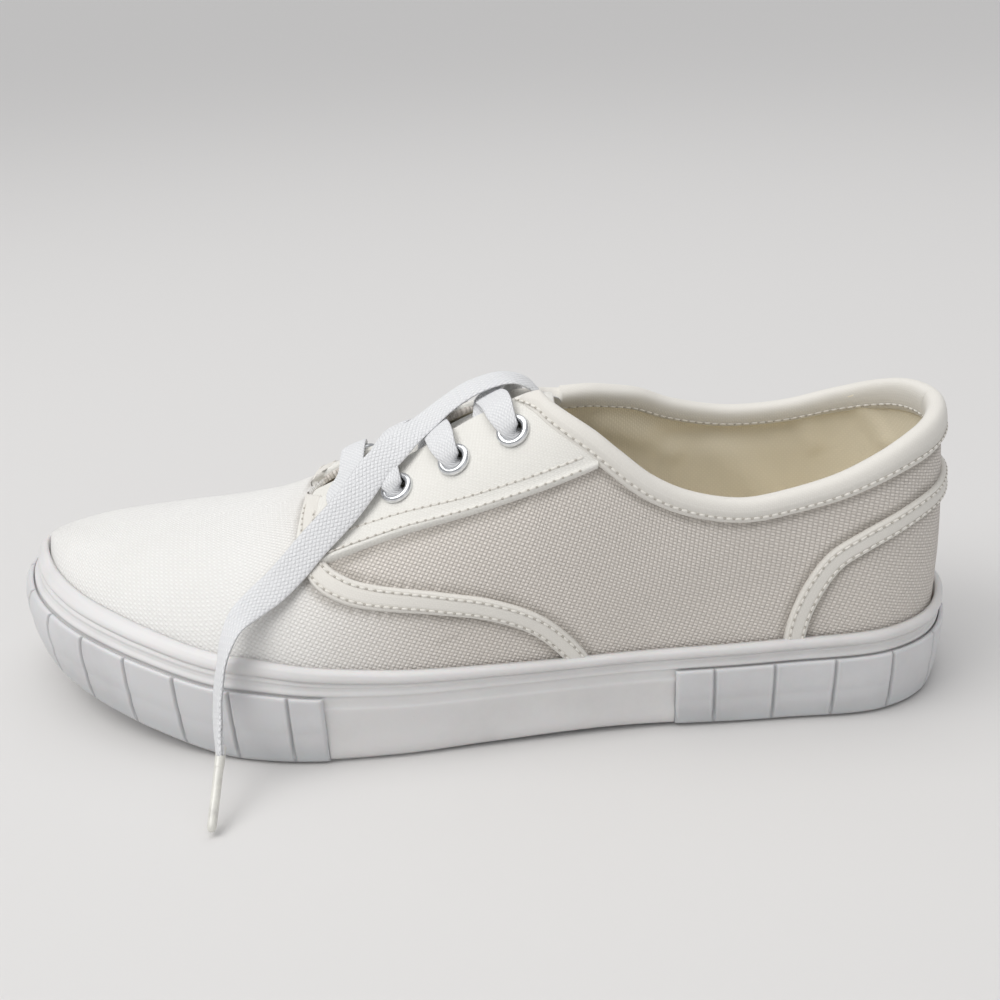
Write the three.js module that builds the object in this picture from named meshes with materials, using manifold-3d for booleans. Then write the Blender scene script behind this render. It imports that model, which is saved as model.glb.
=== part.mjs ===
import * as THREE from 'three';
import { mergeVertices } from 'three/addons/utils/BufferGeometryUtils.js';
import Module from 'manifold-3d';

const wasm = await Module();
wasm.setup();

// A left low canvas shoe standing on the floor. Millimetres, toe toward -X, heel toward +X,
// outer side toward -Y, up is +Z. The origin is on the floor under the middle of the shoe.

// Driving dimensions
const shoeLength = 278; // over the bands, toe to heel
const ballWidth = 103; // over the bands
const toeSpring = 15; // rise of the sole under the tip of the toe
const soleThickness = 13; // floor to the lower edge of the upper
const tapeHeight = 28; // side tape of the sole, at the heel
const lastHeight = 112; // highest crest of the last, above the heel
const heelLean = 4.5; // forward lean of the back of the heel at the collar
const leanStart = 0.72; // the lean begins at this share of the length
const leanFoot = 0.46; // and this share of heelHeight
const leanCurve = 1.6;
const toeSetback = 5; // last behind the band at the tip of the toe
const setbackStart = 0.17; // it begins at this share of the length
const clearance = 0.3; // between two neighbouring pieces
const wall = 2; // canvas with its lining
const tapeThickness = 1.9;
const tapeFoot = 0.8; // the tape stops this far above the tread
const bandThickness = 1.2;
const bandShare = 0.745; // top of the toe and heel bands, as a share of the tape
const toeBandEnd = -37.5; // ends of the bands on the sides, from the middle of the shoe
const heelBandStart = 57;
const grooveSpacing = 16.6;
const grooveMargin = 9.5; // band end to the first groove
const grooveWidth = 0.9;
const grooveDepth = 0.6;
const insoleThickness = 3;
const tongueThickness = 2;
const tongueHalfWidth = 25;
const overlayThickness = 1.1;
const stripWidth = 6; // sewn strips over the edges of the quarters
const bindingWidth = 6.5; // padded edge of the collar
const bindingThickness = 1.5;
const heelHeight = 84.5; // collar at the back
const throatHalfWidth = 9.7;
const throatBase = -46; // front end of the throat, from the middle of the shoe
const eyeletCount = 4;
const eyeletPitch = 16.1; // along the shoe
const eyeletForward = 15.6; // top eyelet behind the middle of the shoe
const eyeletAside = 20; // lowest eyelets from the middle of the throat
const eyeletFan = 1.5; // the top ones sit this much farther out
const eyeletRadius = 4.8;
const eyeletHole = 2.7;
const eyeletBarrel = 3.2;
const eyeletFlange = 0.7;
const laceWidth = 8.5;
const laceThickness = 1.1;
const laceSag = 1.8; // of the lace between the two facings
const laceEndRadius = 1.5; // round section as large as the flat lace
const agletRadius = 1.3;

// Outline of the sole over the bands, outer side first.
// along: share of the length, from its middle. aside: share of half the ball width.
const outline = [
  { along: 0.5, aside: 0 },
  { along: 0.475, aside: -0.42 },
  { along: 0.42, aside: -0.64 },
  { along: 0.31, aside: -0.715 },
  { along: 0.17, aside: -0.78 },
  { along: 0.03, aside: -0.9 },
  { along: -0.08, aside: -1 },
  { along: -0.17, aside: -1.03 },
  { along: -0.26, aside: -0.945 },
  { along: -0.34, aside: -0.785 },
  { along: -0.42, aside: -0.52 },
  { along: -0.475, aside: -0.18 },
  { along: -0.5, aside: 0.2 },
  { along: -0.487, aside: 0.52 },
  { along: -0.445, aside: 0.73 },
  { along: -0.36, aside: 0.91 },
  { along: -0.26, aside: 0.98 },
  { along: -0.15, aside: 0.94 },
  { along: 0, aside: 0.81 },
  { along: 0.14, aside: 0.65 },
  { along: 0.28, aside: 0.67 },
  { along: 0.4, aside: 0.65 },
  { along: 0.47, aside: 0.43 },
];

// Sections of the last and the sole, toe to heel. spring: share of toeSpring. crest: share of
// lastHeight. tape: share of tapeHeight. shoulder, rise: exponents of the section's side and top.
// ridge: share of ballWidth that the crest lies toward the inner side.
const sections = [
  { at: 0, spring: 1, crest: 0.321, tape: 0.91, shoulder: 2.3, rise: 1.9, ridge: 0 },
  { at: 0.04, spring: 0.83, crest: 0.384, tape: 0.98, shoulder: 2.4, rise: 2, ridge: 0 },
  { at: 0.1, spring: 0.6, crest: 0.415, tape: 1.05, shoulder: 2.5, rise: 2.2, ridge: 0 },
  { at: 0.18, spring: 0.3, crest: 0.433, tape: 1.1, shoulder: 2.5, rise: 2.3, ridge: 0.02 },
  { at: 0.28, spring: 0, crest: 0.473, tape: 1.11, shoulder: 2.4, rise: 2.3, ridge: 0.04 },
  { at: 0.36, spring: 0, crest: 0.554, tape: 1.035, shoulder: 2.2, rise: 2.2, ridge: 0.06 },
  { at: 0.44, spring: 0, crest: 0.652, tape: 0.965, shoulder: 2.1, rise: 2.2, ridge: 0.05 },
  { at: 0.52, spring: 0.03, crest: 0.757, tape: 0.91, shoulder: 2.1, rise: 2.3, ridge: 0 },
  { at: 0.62, spring: 0.06, crest: 0.857, tape: 0.875, shoulder: 2.2, rise: 2.7, ridge: -0.06 },
  { at: 0.78, spring: 0, crest: 0.955, tape: 0.92, shoulder: 2.3, rise: 3.4, ridge: -0.01 },
  { at: 1, spring: 0, crest: 1, tape: 0.98, shoulder: 2.4, rise: 4, ridge: 0 },
];

// Lines of the side view. along: share of the length, from its middle. up: share of heelHeight.
// The collar has a height on the outer and on the inner side, where the slack facing has sunk, and
// a width of its binding as a share of bindingWidth.
const collarLine = [
  { along: 0.03, outer: 1.091, inner: 0.978, band: 0.5 },
  { along: 0.072, outer: 1.093, inner: 0.982, band: 0.68 },
  { along: 0.1, outer: 1.066, inner: 0.983, band: 0.9 },
  { along: 0.129, outer: 1.019, inner: 0.986, band: 1 },
  { along: 0.153, outer: 0.960, inner: 0.973, band: 1 },
  { along: 0.185, outer: 0.879, inner: 0.946, band: 1 },
  { along: 0.218, outer: 0.827, inner: 0.893, band: 1 },
  { along: 0.266, outer: 0.796, inner: 0.851, band: 1 },
  { along: 0.303, outer: 0.809, inner: 0.843, band: 1 },
  { along: 0.353, outer: 0.852, inner: 0.858, band: 1.05 },
  { along: 0.402, outer: 0.922, inner: 0.907, band: 1.2 },
  { along: 0.438, outer: 0.969, inner: 0.953, band: 1.4 },
  { along: 0.475, outer: 0.998, inner: 0.998, band: 1.5 },
  { along: 0.56, outer: 1.018, inner: 1.018, band: 1.5 },
];
const stayLine = [
  { along: -0.148, up: 0.592 },
  { along: -0.06, up: 0.695 },
  { along: 0.034, up: 0.791 },
  { along: 0.134, up: 0.910 },
  { along: 0.2, up: 0.994 },
];
const vampLine = [
  { along: -0.166, up: 0.824 },
  { along: -0.163, up: 0.659 },
  { along: -0.147, up: 0.569 },
  { along: -0.113, up: 0.518 },
  { along: -0.023, up: 0.481 },
  { along: 0.027, up: 0.450 },
  { along: 0.067, up: 0.390 },
  { along: 0.1, up: 0.272 },
  { along: 0.115, up: 0.154 },
];
const counterLine = [
  { along: 0.307, up: 0.154 },
  { along: 0.319, up: 0.413 },
  { along: 0.348, up: 0.593 },
  { along: 0.379, up: 0.665 },
  { along: 0.416, up: 0.722 },
  { along: 0.449, up: 0.756 },
  { along: 0.56, up: 0.793 },
];

// Sides of the throat in the top view, as shares of throatHalfWidth
const throatFlare = [
  { along: 0.03, outer: 1, inner: 1 },
  { along: 0.05, outer: 1.05, inner: 1.1 },
  { along: 0.07, outer: 1.15, inner: 1.3 },
  { along: 0.087, outer: 1.4, inner: 1.5 },
  { along: 0.1, outer: 1.7, inner: 1.6 },
];
// Half of the tongue in the top view. aside: share of tongueHalfWidth.
const tongueEdge = [
  { along: -0.225, aside: 0.45 },
  { along: -0.2, aside: 0.68 },
  { along: -0.12, aside: 0.86 },
  { along: 0, aside: 0.97 },
  { along: 0.06, aside: 0.98 },
  { along: 0.08, aside: 0.8 },
  { along: 0.087, aside: 0.5 },
];

// Side of the sole's tape, tread to top edge. level: share of the tape's height over the tread.
// out: share of tapeThickness, beyond the sole's outline low down and beyond the last above.
const tapeFace = [
  { on: 'sole', level: 0, out: -0.47 },
  { on: 'sole', level: 0.12, out: 0 },
  { on: 'sole', level: 0.36, out: -0.16 },
  { on: 'sole', level: 0.6, out: 0 },
  { on: 'last', level: 0.63, out: -0.16 },
  { on: 'last', level: 0.74, out: -0.16 },
  { on: 'last', level: 0.77, out: 0.05 },
  { on: 'last', level: 0.87, out: -0.16 },
  { on: 'last', level: 0.91, out: 0.32 },
  { on: 'last', level: 0.97, out: 0.32 },
  { on: 'last', level: 1, out: -0.1 },
];
// Its inner face, top edge to tread. out: beyond the last, as a multiple of clearance.
const tapeInside = [
  { level: 1, out: 2.4 },
  { level: 0.7, out: 2.7 },
  { level: 0.45, out: 1 },
  { level: 0, out: 1 },
];
// Face and back of the toe and heel bands. level: share of the band's height over the tread.
// out: share of bandThickness beyond the sole's outline.
const bandFace = [
  { level: 0, out: -1.33 },
  { level: 0.1, out: -0.33 },
  { level: 0.42, out: -0.08 },
  { level: 0.47, out: -0.42 },
  { level: 0.52, out: 0 },
  { level: 1, out: 0 },
];
const bandBack = [
  { level: 1, out: -1 },
  { level: 0.1, out: -1 },
  { level: 0, out: -1.75 },
];

// One strand of a crossing, from its eyelet down into the throat. part: share of the eyelet pitch
// toward the toe. aside: share of the eyelets' distance from the middle, negative on the other
// side. lift: share of laceThickness above what the strand lies on there.
const crossingStops = [
  { part: 0.06, aside: 1.02, over: 'eyelet', lift: 0.36 },
  { part: 0.15, aside: 0.72, over: 'eyelet', lift: 0.1 },
  { part: 0.26, aside: 0.5, over: 'facing', lift: 0.2 },
  { part: 0.47, aside: 0, over: 'throat', lift: 0 },
  { part: 0.53, aside: -0.2, over: 'throat', lift: -1.1 },
  { part: 0.57, aside: -0.34, over: 'throat', lift: -1.8 },
];
const stopsOnSide = 3; // of them lie on the strand's own side

// Free end of the lace, by hand: out of the throat at the top, over the crossings, down the outer
// side of the toe and over the sole. The aglet goes on from there to the floor.
const laceEnd = [
  { x: 20, y: 9, z: 86 },
  { x: 13, y: 5, z: 90 },
  { x: 4, y: 1.5, z: 88.9 },
  { x: -4, y: -0.5, z: 84.6 },
  { x: -10, y: -4.5, z: 81 },
  { x: -14.5, y: -9, z: 79 },
  { x: -18.5, y: -13.5, z: 76.4 },
  { x: -23, y: -17.5, z: 73.2 },
  { x: -27, y: -22, z: 69 },
  { x: -31, y: -25.5, z: 64.8 },
  { x: -35, y: -28, z: 61.2 },
  { x: -40, y: -31, z: 56.8 },
  { x: -45, y: -34.5, z: 52 },
  { x: -50, y: -37.5, z: 47.8 },
  { x: -55, y: -40.5, z: 44.6 },
  { x: -59, y: -44.5, z: 42 },
  { x: -61.5, y: -49, z: 38 },
  { x: -63, y: -53, z: 32 },
  { x: -64, y: -56, z: 25 },
  { x: -64, y: -59.5, z: 18.5 },
  { x: -63, y: -64.5, z: 13 },
];
const agletTip = { x: -63, y: -80.5, z: 1.8 };

const stationsAlong = 24; // how finely the last is drawn
const stationsAround = 13;
const roundSides = 8;

function smooth(rows, place, column, at) {
  const last = rows.length - 1;
  const clamped = Math.min(Math.max(at, rows[0][place]), rows[last][place]);
  let i = 0;
  while (i < last - 1 && clamped > rows[i + 1][place]) i++;
  const slope = (k) => (rows[k + 1][column] - rows[k][column]) / (rows[k + 1][place] - rows[k][place]);
  const tangent = (k) => {
    if (k === 0) return slope(0);
    if (k === last) return slope(last - 1);
    const before = slope(k - 1);
    const after = slope(k);
    return before * after > 0 ? (2 * before * after) / (before + after) : 0;
  };
  const span = rows[i + 1][place] - rows[i][place];
  const t = (clamped - rows[i][place]) / span;
  const a = rows[i][column];
  const b = rows[i + 1][column];
  return a * (2 * t ** 3 - 3 * t ** 2 + 1) + b * (3 * t ** 2 - 2 * t ** 3)
    + span * (tangent(i) * (t ** 3 - 2 * t ** 2 + t) + tangent(i + 1) * (t ** 3 - t ** 2));
}

const atOf = (x) => x / shoeLength + 0.5;
const treadHeight = (x) => toeSpring * smooth(sections, 'at', 'spring', atOf(x));
const featherHeight = (x) => treadHeight(x) + soleThickness;
const tapeTop = (x) => treadHeight(x) + tapeHeight * smooth(sections, 'at', 'tape', atOf(x));

// Closed outline as a dense line of points, moved outward by a distance
const soleCurve = new THREE.CatmullRomCurve3(
  outline.map((row) => new THREE.Vector3(row.along * shoeLength, (row.aside * ballWidth) / 2, 0)),
  true, 'centripetal');
const soleLine = soleCurve.getPoints(outline.length * 16).slice(0, -1);

function outward(line, i) {
  const before = line[(i + line.length - 1) % line.length];
  const after = line[(i + 1) % line.length];
  const along = new THREE.Vector2(after.x - before.x, after.y - before.y).normalize();
  return new THREE.Vector3(-along.y, along.x, 0);
}

const moved = (line, distance) => line.map((p, i) => p.clone().addScaledVector(outward(line, i), distance));

// The two sides of a closed line, each from the toe to the heel. A second line of as many points
// is split at the same places.
function sidesOf(line, split = line) {
  let toe = 0;
  let heel = 0;
  line.forEach((p, i) => {
    if (p.x < line[toe].x) toe = i;
    if (p.x > line[heel].x) heel = i;
  });
  const walk = (from, to) => {
    const points = [split[from]];
    for (let i = from; i !== to; i = (i + 1) % line.length) points.push(split[(i + 1) % line.length]);
    return points;
  };
  return { outer: walk(heel, toe).reverse(), inner: walk(toe, heel) };
}

function sideAt(side, x) {
  let i = 0;
  while (i < side.length - 2 && side[i + 1].x < x) i++;
  const t = Math.min(Math.max((x - side[i].x) / (side[i + 1].x - side[i].x), 0), 1);
  return side[i].y + t * (side[i + 1].y - side[i].y);
}

const lastInset = bandThickness + tapeThickness + 2 * clearance;
const lastLine = moved(soleLine, -lastInset).map((p) => {
  const nearToe = Math.min(Math.max(1 - atOf(p.x) / setbackStart, 0), 1);
  return new THREE.Vector3(p.x + nearToe * toeSetback, p.y, 0);
});
const lastSides = sidesOf(lastLine);
const lastToe = lastSides.outer[0].x;
const lastHeel = lastSides.outer.at(-1).x;

const lastStops = Array.from({ length: stationsAlong + 1 }, (_, i) => {
  const share = (1 - Math.cos((Math.PI * i) / stationsAlong)) / 2;
  return lastToe + share * (lastHeel - lastToe);
});

// A point of the last: place along the shoe, and angle round the section from the lower edge of
// the outer side over the crest to the lower edge of the inner side
function lastPoint(x, angle) {
  const at = atOf(x);
  const outer = sideAt(lastSides.outer, x);
  const inner = sideAt(lastSides.inner, x);
  const crestY = (outer + inner) / 2 + ballWidth * smooth(sections, 'at', 'ridge', at);
  const height = lastHeight * smooth(sections, 'at', 'crest', at) - featherHeight(x);
  const reach = Math.cos(angle) > 0 ? outer - crestY : inner - crestY;
  const y = crestY + reach * Math.abs(Math.cos(angle)) ** (2 / smooth(sections, 'at', 'shoulder', at));
  const z = featherHeight(x) + height * Math.abs(Math.sin(angle)) ** (2 / smooth(sections, 'at', 'rise', at));
  const nearHeel = Math.min(Math.max((at - leanStart) / (1 - leanStart), 0), 1);
  const overFoot = Math.max((z / heelHeight - leanFoot) / (1 - leanFoot), 0);
  return new THREE.Vector3(x - heelLean * nearHeel ** 2 * overFoot ** leanCurve, y, z);
}

// Mesh and solid helpers
function meshOf(points, faces) {
  const geometry = new THREE.BufferGeometry();
  geometry.setAttribute('position', new THREE.Float32BufferAttribute(points.flatMap((p) => [p.x, p.y, p.z]), 3));
  geometry.setIndex(faces.flat());
  return geometry;
}

function cleaned(geometry) {
  const bare = geometry.clone();
  bare.deleteAttribute('normal');
  bare.deleteAttribute('uv');
  const merged = mergeVertices(bare, 1e-4);
  const index = [];
  for (let i = 0; i < merged.index.count; i += 3) {
    const face = [merged.index.getX(i), merged.index.getX(i + 1), merged.index.getX(i + 2)];
    if (new Set(face).size === 3) index.push(...face);
  }
  merged.setIndex(index);
  return merged;
}

function volumeOf(geometry) {
  const p = geometry.attributes.position;
  const corner = (i) => new THREE.Vector3().fromBufferAttribute(p, geometry.index.getX(i));
  let volume = 0;
  for (let i = 0; i < geometry.index.count; i += 3) {
    volume += corner(i).dot(corner(i + 1).cross(corner(i + 2))) / 6;
  }
  return volume;
}

function solidOf(geometry) {
  const merged = cleaned(geometry);
  const index = Array.from(merged.index.array);
  if (volumeOf(merged) < 0) index.reverse();
  return new wasm.Manifold(new wasm.Mesh({
    numProp: 3,
    vertProperties: Float32Array.from(merged.attributes.position.array),
    triVerts: Uint32Array.from(index),
  }));
}

function geometryOf(solid) {
  const mesh = solid.getMesh();
  const geometry = new THREE.BufferGeometry();
  geometry.setAttribute('position', new THREE.BufferAttribute(Float32Array.from(mesh.vertProperties), 3));
  geometry.setIndex(Array.from(mesh.triVerts));
  geometry.computeVertexNormals();
  return geometry;
}

// Rings of equal length joined one after the other. A closed sweep returns to its first ring,
// an open one is capped by its first and last ring.
function sweep(rings, closed) {
  const count = rings[0].length;
  const faces = [];
  const steps = closed ? rings.length : rings.length - 1;
  for (let i = 0; i < steps; i++) {
    const next = (i + 1) % rings.length;
    for (let j = 0; j < count; j++) {
      const right = (j + 1) % count;
      const a = i * count + j;
      const b = i * count + right;
      const c = next * count + right;
      const d = next * count + j;
      faces.push([a, b, c], [a, c, d]);
    }
  }
  if (!closed) {
    const end = (rings.length - 1) * count;
    for (let j = 1; j < count - 1; j++) {
      faces.push([0, j + 1, j], [end, end + j, end + j + 1]);
    }
  }
  return meshOf(rings.flat(), faces);
}

// The last as a closed solid, grown by a distance along its normals. Straight walls carry it down
// below the floor, so that its underside takes part in no cut.
const rootHeights = [-30, -4];
function lastSolid(grow) {
  const rings = [];
  for (const x of lastStops) {
    const ring = [];
    for (let j = 0; j <= stationsAround; j++) ring.push(lastPoint(x, (Math.PI * j) / stationsAround));
    const root = (p, z) => new THREE.Vector3(p.x, p.y, z);
    const outer = rootHeights.map((z) => root(ring[0], z));
    const inner = rootHeights.map((z) => root(ring.at(-1), z)).reverse();
    rings.push([...outer, ...ring, ...inner]);
  }
  const faces = [];
  const count = rings[0].length;
  for (let i = 0; i < stationsAlong; i++) {
    for (let j = 0; j < count; j++) {
      const a = i * count + j;
      const b = i * count + ((j + 1) % count);
      faces.push([a, a + count, b + count], [a, b + count, b]);
    }
  }
  const geometry = cleaned(meshOf(rings.flat(), faces));
  if (volumeOf(geometry) < 0) geometry.setIndex(Array.from(geometry.index.array).reverse());
  geometry.computeVertexNormals();
  const position = geometry.attributes.position;
  const normal = geometry.attributes.normal;
  for (let i = 0; i < position.count; i++) {
    const point = new THREE.Vector3().fromBufferAttribute(position, i);
    point.addScaledVector(new THREE.Vector3().fromBufferAttribute(normal, i), grow);
    position.setXYZ(i, point.x, point.y, point.z);
  }
  return solidOf(geometry);
}

const lastAt = new Map();
function last(grow) {
  const key = grow.toFixed(3);
  if (!lastAt.has(key)) lastAt.set(key, lastSolid(grow));
  return lastAt.get(key);
}
const layer = (inside, outside) => last(outside).subtract(last(inside));

// A shape of the side view carried across the shoe, or of the top view carried upward
function sideRegion(points, from = -90, to = 90) {
  const shape = new THREE.Shape(points.map((p) => new THREE.Vector2(p.x, p.z)));
  const geometry = new THREE.ExtrudeGeometry(shape, { depth: to - from, bevelEnabled: false });
  geometry.rotateX(Math.PI / 2);
  geometry.translate(0, to, 0);
  return solidOf(geometry);
}

function topRegion(points, from, to) {
  const shape = new THREE.Shape(points.map((p) => new THREE.Vector2(p.x, p.y)));
  const geometry = new THREE.ExtrudeGeometry(shape, { depth: to - from, bevelEnabled: false });
  geometry.translate(0, 0, from);
  return solidOf(geometry);
}

// Side view lines
function sideLine(rows, steps, column = 'up') {
  const curve = new THREE.CatmullRomCurve3(
    rows.map((row) => new THREE.Vector3(row.along * shoeLength, 0, row[column] * heelHeight)), false, 'centripetal');
  return curve.getPoints(steps);
}

// A side view line moved to its right, seen along its run, by a distance that may vary with x
function beside(line, reach) {
  return line.map((p, i) => {
    const distance = typeof reach === 'number' ? reach : reach(p.x);
    const before = line[Math.max(i - 1, 0)];
    const after = line[Math.min(i + 1, line.length - 1)];
    const run = after.clone().sub(before).normalize();
    return new THREE.Vector3(p.x + run.z * distance, 0, p.z - run.x * distance);
  });
}
const between = (lower, upper) => [...lower, ...[...upper].reverse()];

const high = 2 * lastHeight;
const sideView = (x, z) => new THREE.Vector3(x, 0, z);
const levelSteps = 12;
const levelStations = Array.from({ length: levelSteps + 1 }, (_, i) => 1.12 * (i / levelSteps - 0.5) * shoeLength);
const under = (height) => sideRegion(between(
  [sideView(levelStations[0], -high), sideView(levelStations.at(-1), -high)],
  levelStations.map((x) => sideView(x, height(x)))));

const stay = sideLine(stayLine, 8);
const vamp = sideLine(vampLine, 14);
const counter = sideLine(counterLine, 12);

// What lies above the collar's edge, lowered by a distance and carried ahead of its front end
function aboveCollar(lowered, ahead = 0) {
  const region = (column, from, to) => {
    const edge = beside(sideLine(collarLine, 18, column), lowered);
    const front = edge[0].x - ahead;
    return sideRegion([sideView(front, edge[0].z), ...edge.slice(1),
      sideView(edge.at(-1).x, high), sideView(front, high)], from, to);
  };
  return region('outer', -ballWidth, 0).add(region('inner', 0, ballWidth));
}
const bindingReach = (grow) => (x) => bindingWidth * smooth(collarLine, 'along', 'band', x / shoeLength) + grow;

function throatOpening() {
  const points = [];
  const foot = throatBase + throatHalfWidth;
  for (let i = 0; i <= 8; i++) {
    const turn = Math.PI * (0.5 + i / 8);
    points.push({ x: foot + throatHalfWidth * Math.cos(turn), y: throatHalfWidth * Math.sin(turn) });
  }
  for (const row of throatFlare) points.push({ x: row.along * shoeLength, y: -row.outer * throatHalfWidth });
  for (const row of throatFlare.toReversed()) {
    points.push({ x: row.along * shoeLength, y: row.inner * throatHalfWidth });
  }
  return topRegion(points, soleThickness + wall, high);
}

const throat = throatOpening();
const belowTape = under((x) => tapeTop(x) + clearance);
const collarRoom = bindingThickness + clearance;

// Point and outward direction of the upper over a place of the top view
function upperPoint(x, y, lift = 0) {
  const place = (px, py) => {
    const outer = sideAt(lastSides.outer, px);
    const inner = sideAt(lastSides.inner, px);
    const crestY = (outer + inner) / 2 + ballWidth * smooth(sections, 'at', 'ridge', atOf(px));
    const reach = py < crestY ? outer - crestY : inner - crestY;
    const cosine = Math.abs((py - crestY) / reach) ** (smooth(sections, 'at', 'shoulder', atOf(px)) / 2);
    return lastPoint(px, py < crestY ? Math.acos(cosine) : Math.PI - Math.acos(cosine));
  };
  const point = place(x, y);
  const alongX = place(x + 1, y).sub(place(x - 1, y));
  const alongY = place(x, y + 1).sub(place(x, y - 1));
  const normal = alongX.cross(alongY).normalize();
  return { point: point.addScaledVector(normal, lift), normal };
}

const eyeletX = (row) => eyeletForward - (row - 1) * eyeletPitch;
const eyeletY = (row) => eyeletAside + (eyeletFan * (eyeletCount - row)) / (eyeletCount - 1);
const eyelets = [];
for (let row = 1; row <= eyeletCount; row++) {
  for (const side of [-1, 1]) eyelets.push({ row, side, ...upperPoint(eyeletX(row), side * eyeletY(row)) });
}

function placedOn(geometry, spot) {
  const turn = new THREE.Quaternion().setFromUnitVectors(new THREE.Vector3(0, 0, 1), spot.normal);
  geometry.applyQuaternion(turn);
  geometry.translate(spot.point.x, spot.point.y, spot.point.z);
  return geometry;
}

function eyeletBores(solid, radius) {
  let bored = solid;
  for (const spot of eyelets) {
    const bore = new THREE.CylinderGeometry(radius, radius, 4 * (wall + overlayThickness), roundSides);
    bore.rotateX(Math.PI / 2);
    bored = bored.subtract(solidOf(placedOn(bore, spot)));
  }
  return bored;
}

// Pieces
function makeUpper() {
  const shell = layer(-wall, 0)
    .subtract(under(featherHeight))
    .subtract(aboveCollar(collarRoom, clearance))
    .subtract(throat);
  return eyeletBores(shell, eyeletBarrel + clearance);
}

function makeOutsole() {
  return last(0).intersect(under((x) => featherHeight(x) - clearance)).subtract(under(treadHeight));
}

function makeInsole() {
  return last(-wall - clearance)
    .intersect(under((x) => featherHeight(x) + insoleThickness))
    .subtract(under(featherHeight));
}

// Where the side of the last at a place along it meets the outline of the sole
const soleSides = sidesOf(lastLine, soleLine);
const outwardSides = sidesOf(lastLine, soleLine.map((_, i) => outward(soleLine, i)));
function soleStation(side, x) {
  const line = lastSides[side];
  let k = 0;
  while (k < line.length - 2 && line[k + 1].x < x) k++;
  const t = Math.min(Math.max((x - line[k].x) / (line[k + 1].x - line[k].x), 0), 1);
  const sole = soleSides[side][k].clone().lerp(soleSides[side][k + 1], t);
  const out = outwardSides[side][k].clone().lerp(outwardSides[side][k + 1], t).normalize();
  return { side, x, sole, out };
}

// Round the sole: the outer side to the heel and the inner side back to the toe
const soleStops = [...lastStops, toeBandEnd, heelBandStart].sort((a, b) => a - b);
const soleStations = [
  ...soleStops.map((x) => soleStation('outer', x)),
  ...soleStops.slice(1, -1).reverse().map((x) => soleStation('inner', x)),
];

// The point of the last beside a station at a height, where that is above its lower edge
function lastBeside(station, height) {
  const { x, side } = station;
  const crest = lastHeight * smooth(sections, 'at', 'crest', atOf(x)) - featherHeight(x);
  const over = Math.max(height - featherHeight(x), 0) / crest;
  const angle = Math.asin(over ** (smooth(sections, 'at', 'rise', atOf(x)) / 2));
  return lastPoint(x, side === 'outer' ? angle : Math.PI - angle);
}

function makeTape() {
  const rings = soleStations.map((station) => {
    const heightAt = (x, level) => treadHeight(x) + tapeFoot + level * (tapeTop(x) - treadHeight(x) - tapeFoot);
    const put = (base, distance, level) => {
      const p = base.clone().addScaledVector(station.out, distance);
      return p.setZ(heightAt(p.x, level));
    };
    const onLast = (level, distance) => put(lastBeside(station, heightAt(station.x, level)), distance, level);
    const face = tapeFace.map(({ on, level, out }) => (on === 'sole'
      ? put(station.sole, out * tapeThickness - bandThickness - clearance, level)
      : onLast(level, (1 + out) * tapeThickness + clearance)));
    const inside = tapeInside.map(({ level, out }) => onLast(level, out * clearance));
    return [...face, ...inside];
  });
  return solidOf(sweep(rings, true));
}

// A place on a line of stations, by the distance along it
function alongStations(stations, distance) {
  let left = distance;
  for (let i = 0; i < stations.length - 1; i++) {
    const step = stations[i].sole.distanceTo(stations[i + 1].sole);
    if (left <= step) {
      const t = left / step;
      return {
        point: stations[i].sole.clone().lerp(stations[i + 1].sole, t),
        out: stations[i].out.clone().lerp(stations[i + 1].out, t),
      };
    }
    left -= step;
  }
  return null;
}

function makeBand(covers) {
  const first = soleStations.findIndex((station, i) => covers(station) && !covers(soleStations.at(i - 1)));
  const turned = [...soleStations.slice(first), ...soleStations.slice(0, first)];
  const stations = turned.filter(covers);
  const heightAt = (x, level) => treadHeight(x) + tapeFoot
    + level * (bandShare * (tapeTop(x) - treadHeight(x)) - tapeFoot);
  const rings = stations.map(({ sole, out }) => {
    const put = (row) => {
      const p = sole.clone().addScaledVector(out, row.out * bandThickness);
      return p.setZ(heightAt(sole.x, row.level));
    };
    return [...bandFace, ...bandBack].map(put);
  });
  let band = solidOf(sweep(rings, false));
  for (let distance = grooveMargin; alongStations(stations, distance + grooveMargin / 2); distance += grooveSpacing) {
    const { point, out } = alongStations(stations, distance);
    const groove = new THREE.CylinderGeometry(1, 1, 3 * tapeHeight, 4);
    groove.rotateX(Math.PI / 2);
    groove.scale(grooveDepth, grooveWidth / 2, 1);
    groove.rotateZ(Math.atan2(out.y, out.x));
    groove.translate(point.x, point.y, tapeHeight);
    band = band.subtract(solidOf(groove));
  }
  return band;
}

function makeTongue() {
  const drop = wall + bindingThickness + 2 * clearance;
  const corner = (row, side) => ({ x: row.along * shoeLength, y: side * row.aside * tongueHalfWidth });
  const edge = [...tongueEdge.map((row) => corner(row, -1)), ...tongueEdge.toReversed().map((row) => corner(row, 1))];
  return layer(-drop - tongueThickness, -drop).intersect(topRegion(edge, soleThickness + toeSpring, high));
}

const overlay = layer(clearance, clearance + overlayThickness);
const vampStrip = (grow) => sideRegion(between(beside(vamp, grow), beside(vamp, -stripWidth - grow)));

// The outer or the inner half of a solid
function half(solid, side) {
  const box = new THREE.BoxGeometry(2 * shoeLength, 2 * ballWidth, 4 * lastHeight);
  box.translate(0, side * ballWidth, 0);
  return solid.intersect(solidOf(box));
}

function makeVampStrip(side) {
  return half(overlay.intersect(vampStrip(0)).subtract(belowTape).subtract(throat), side);
}

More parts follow.
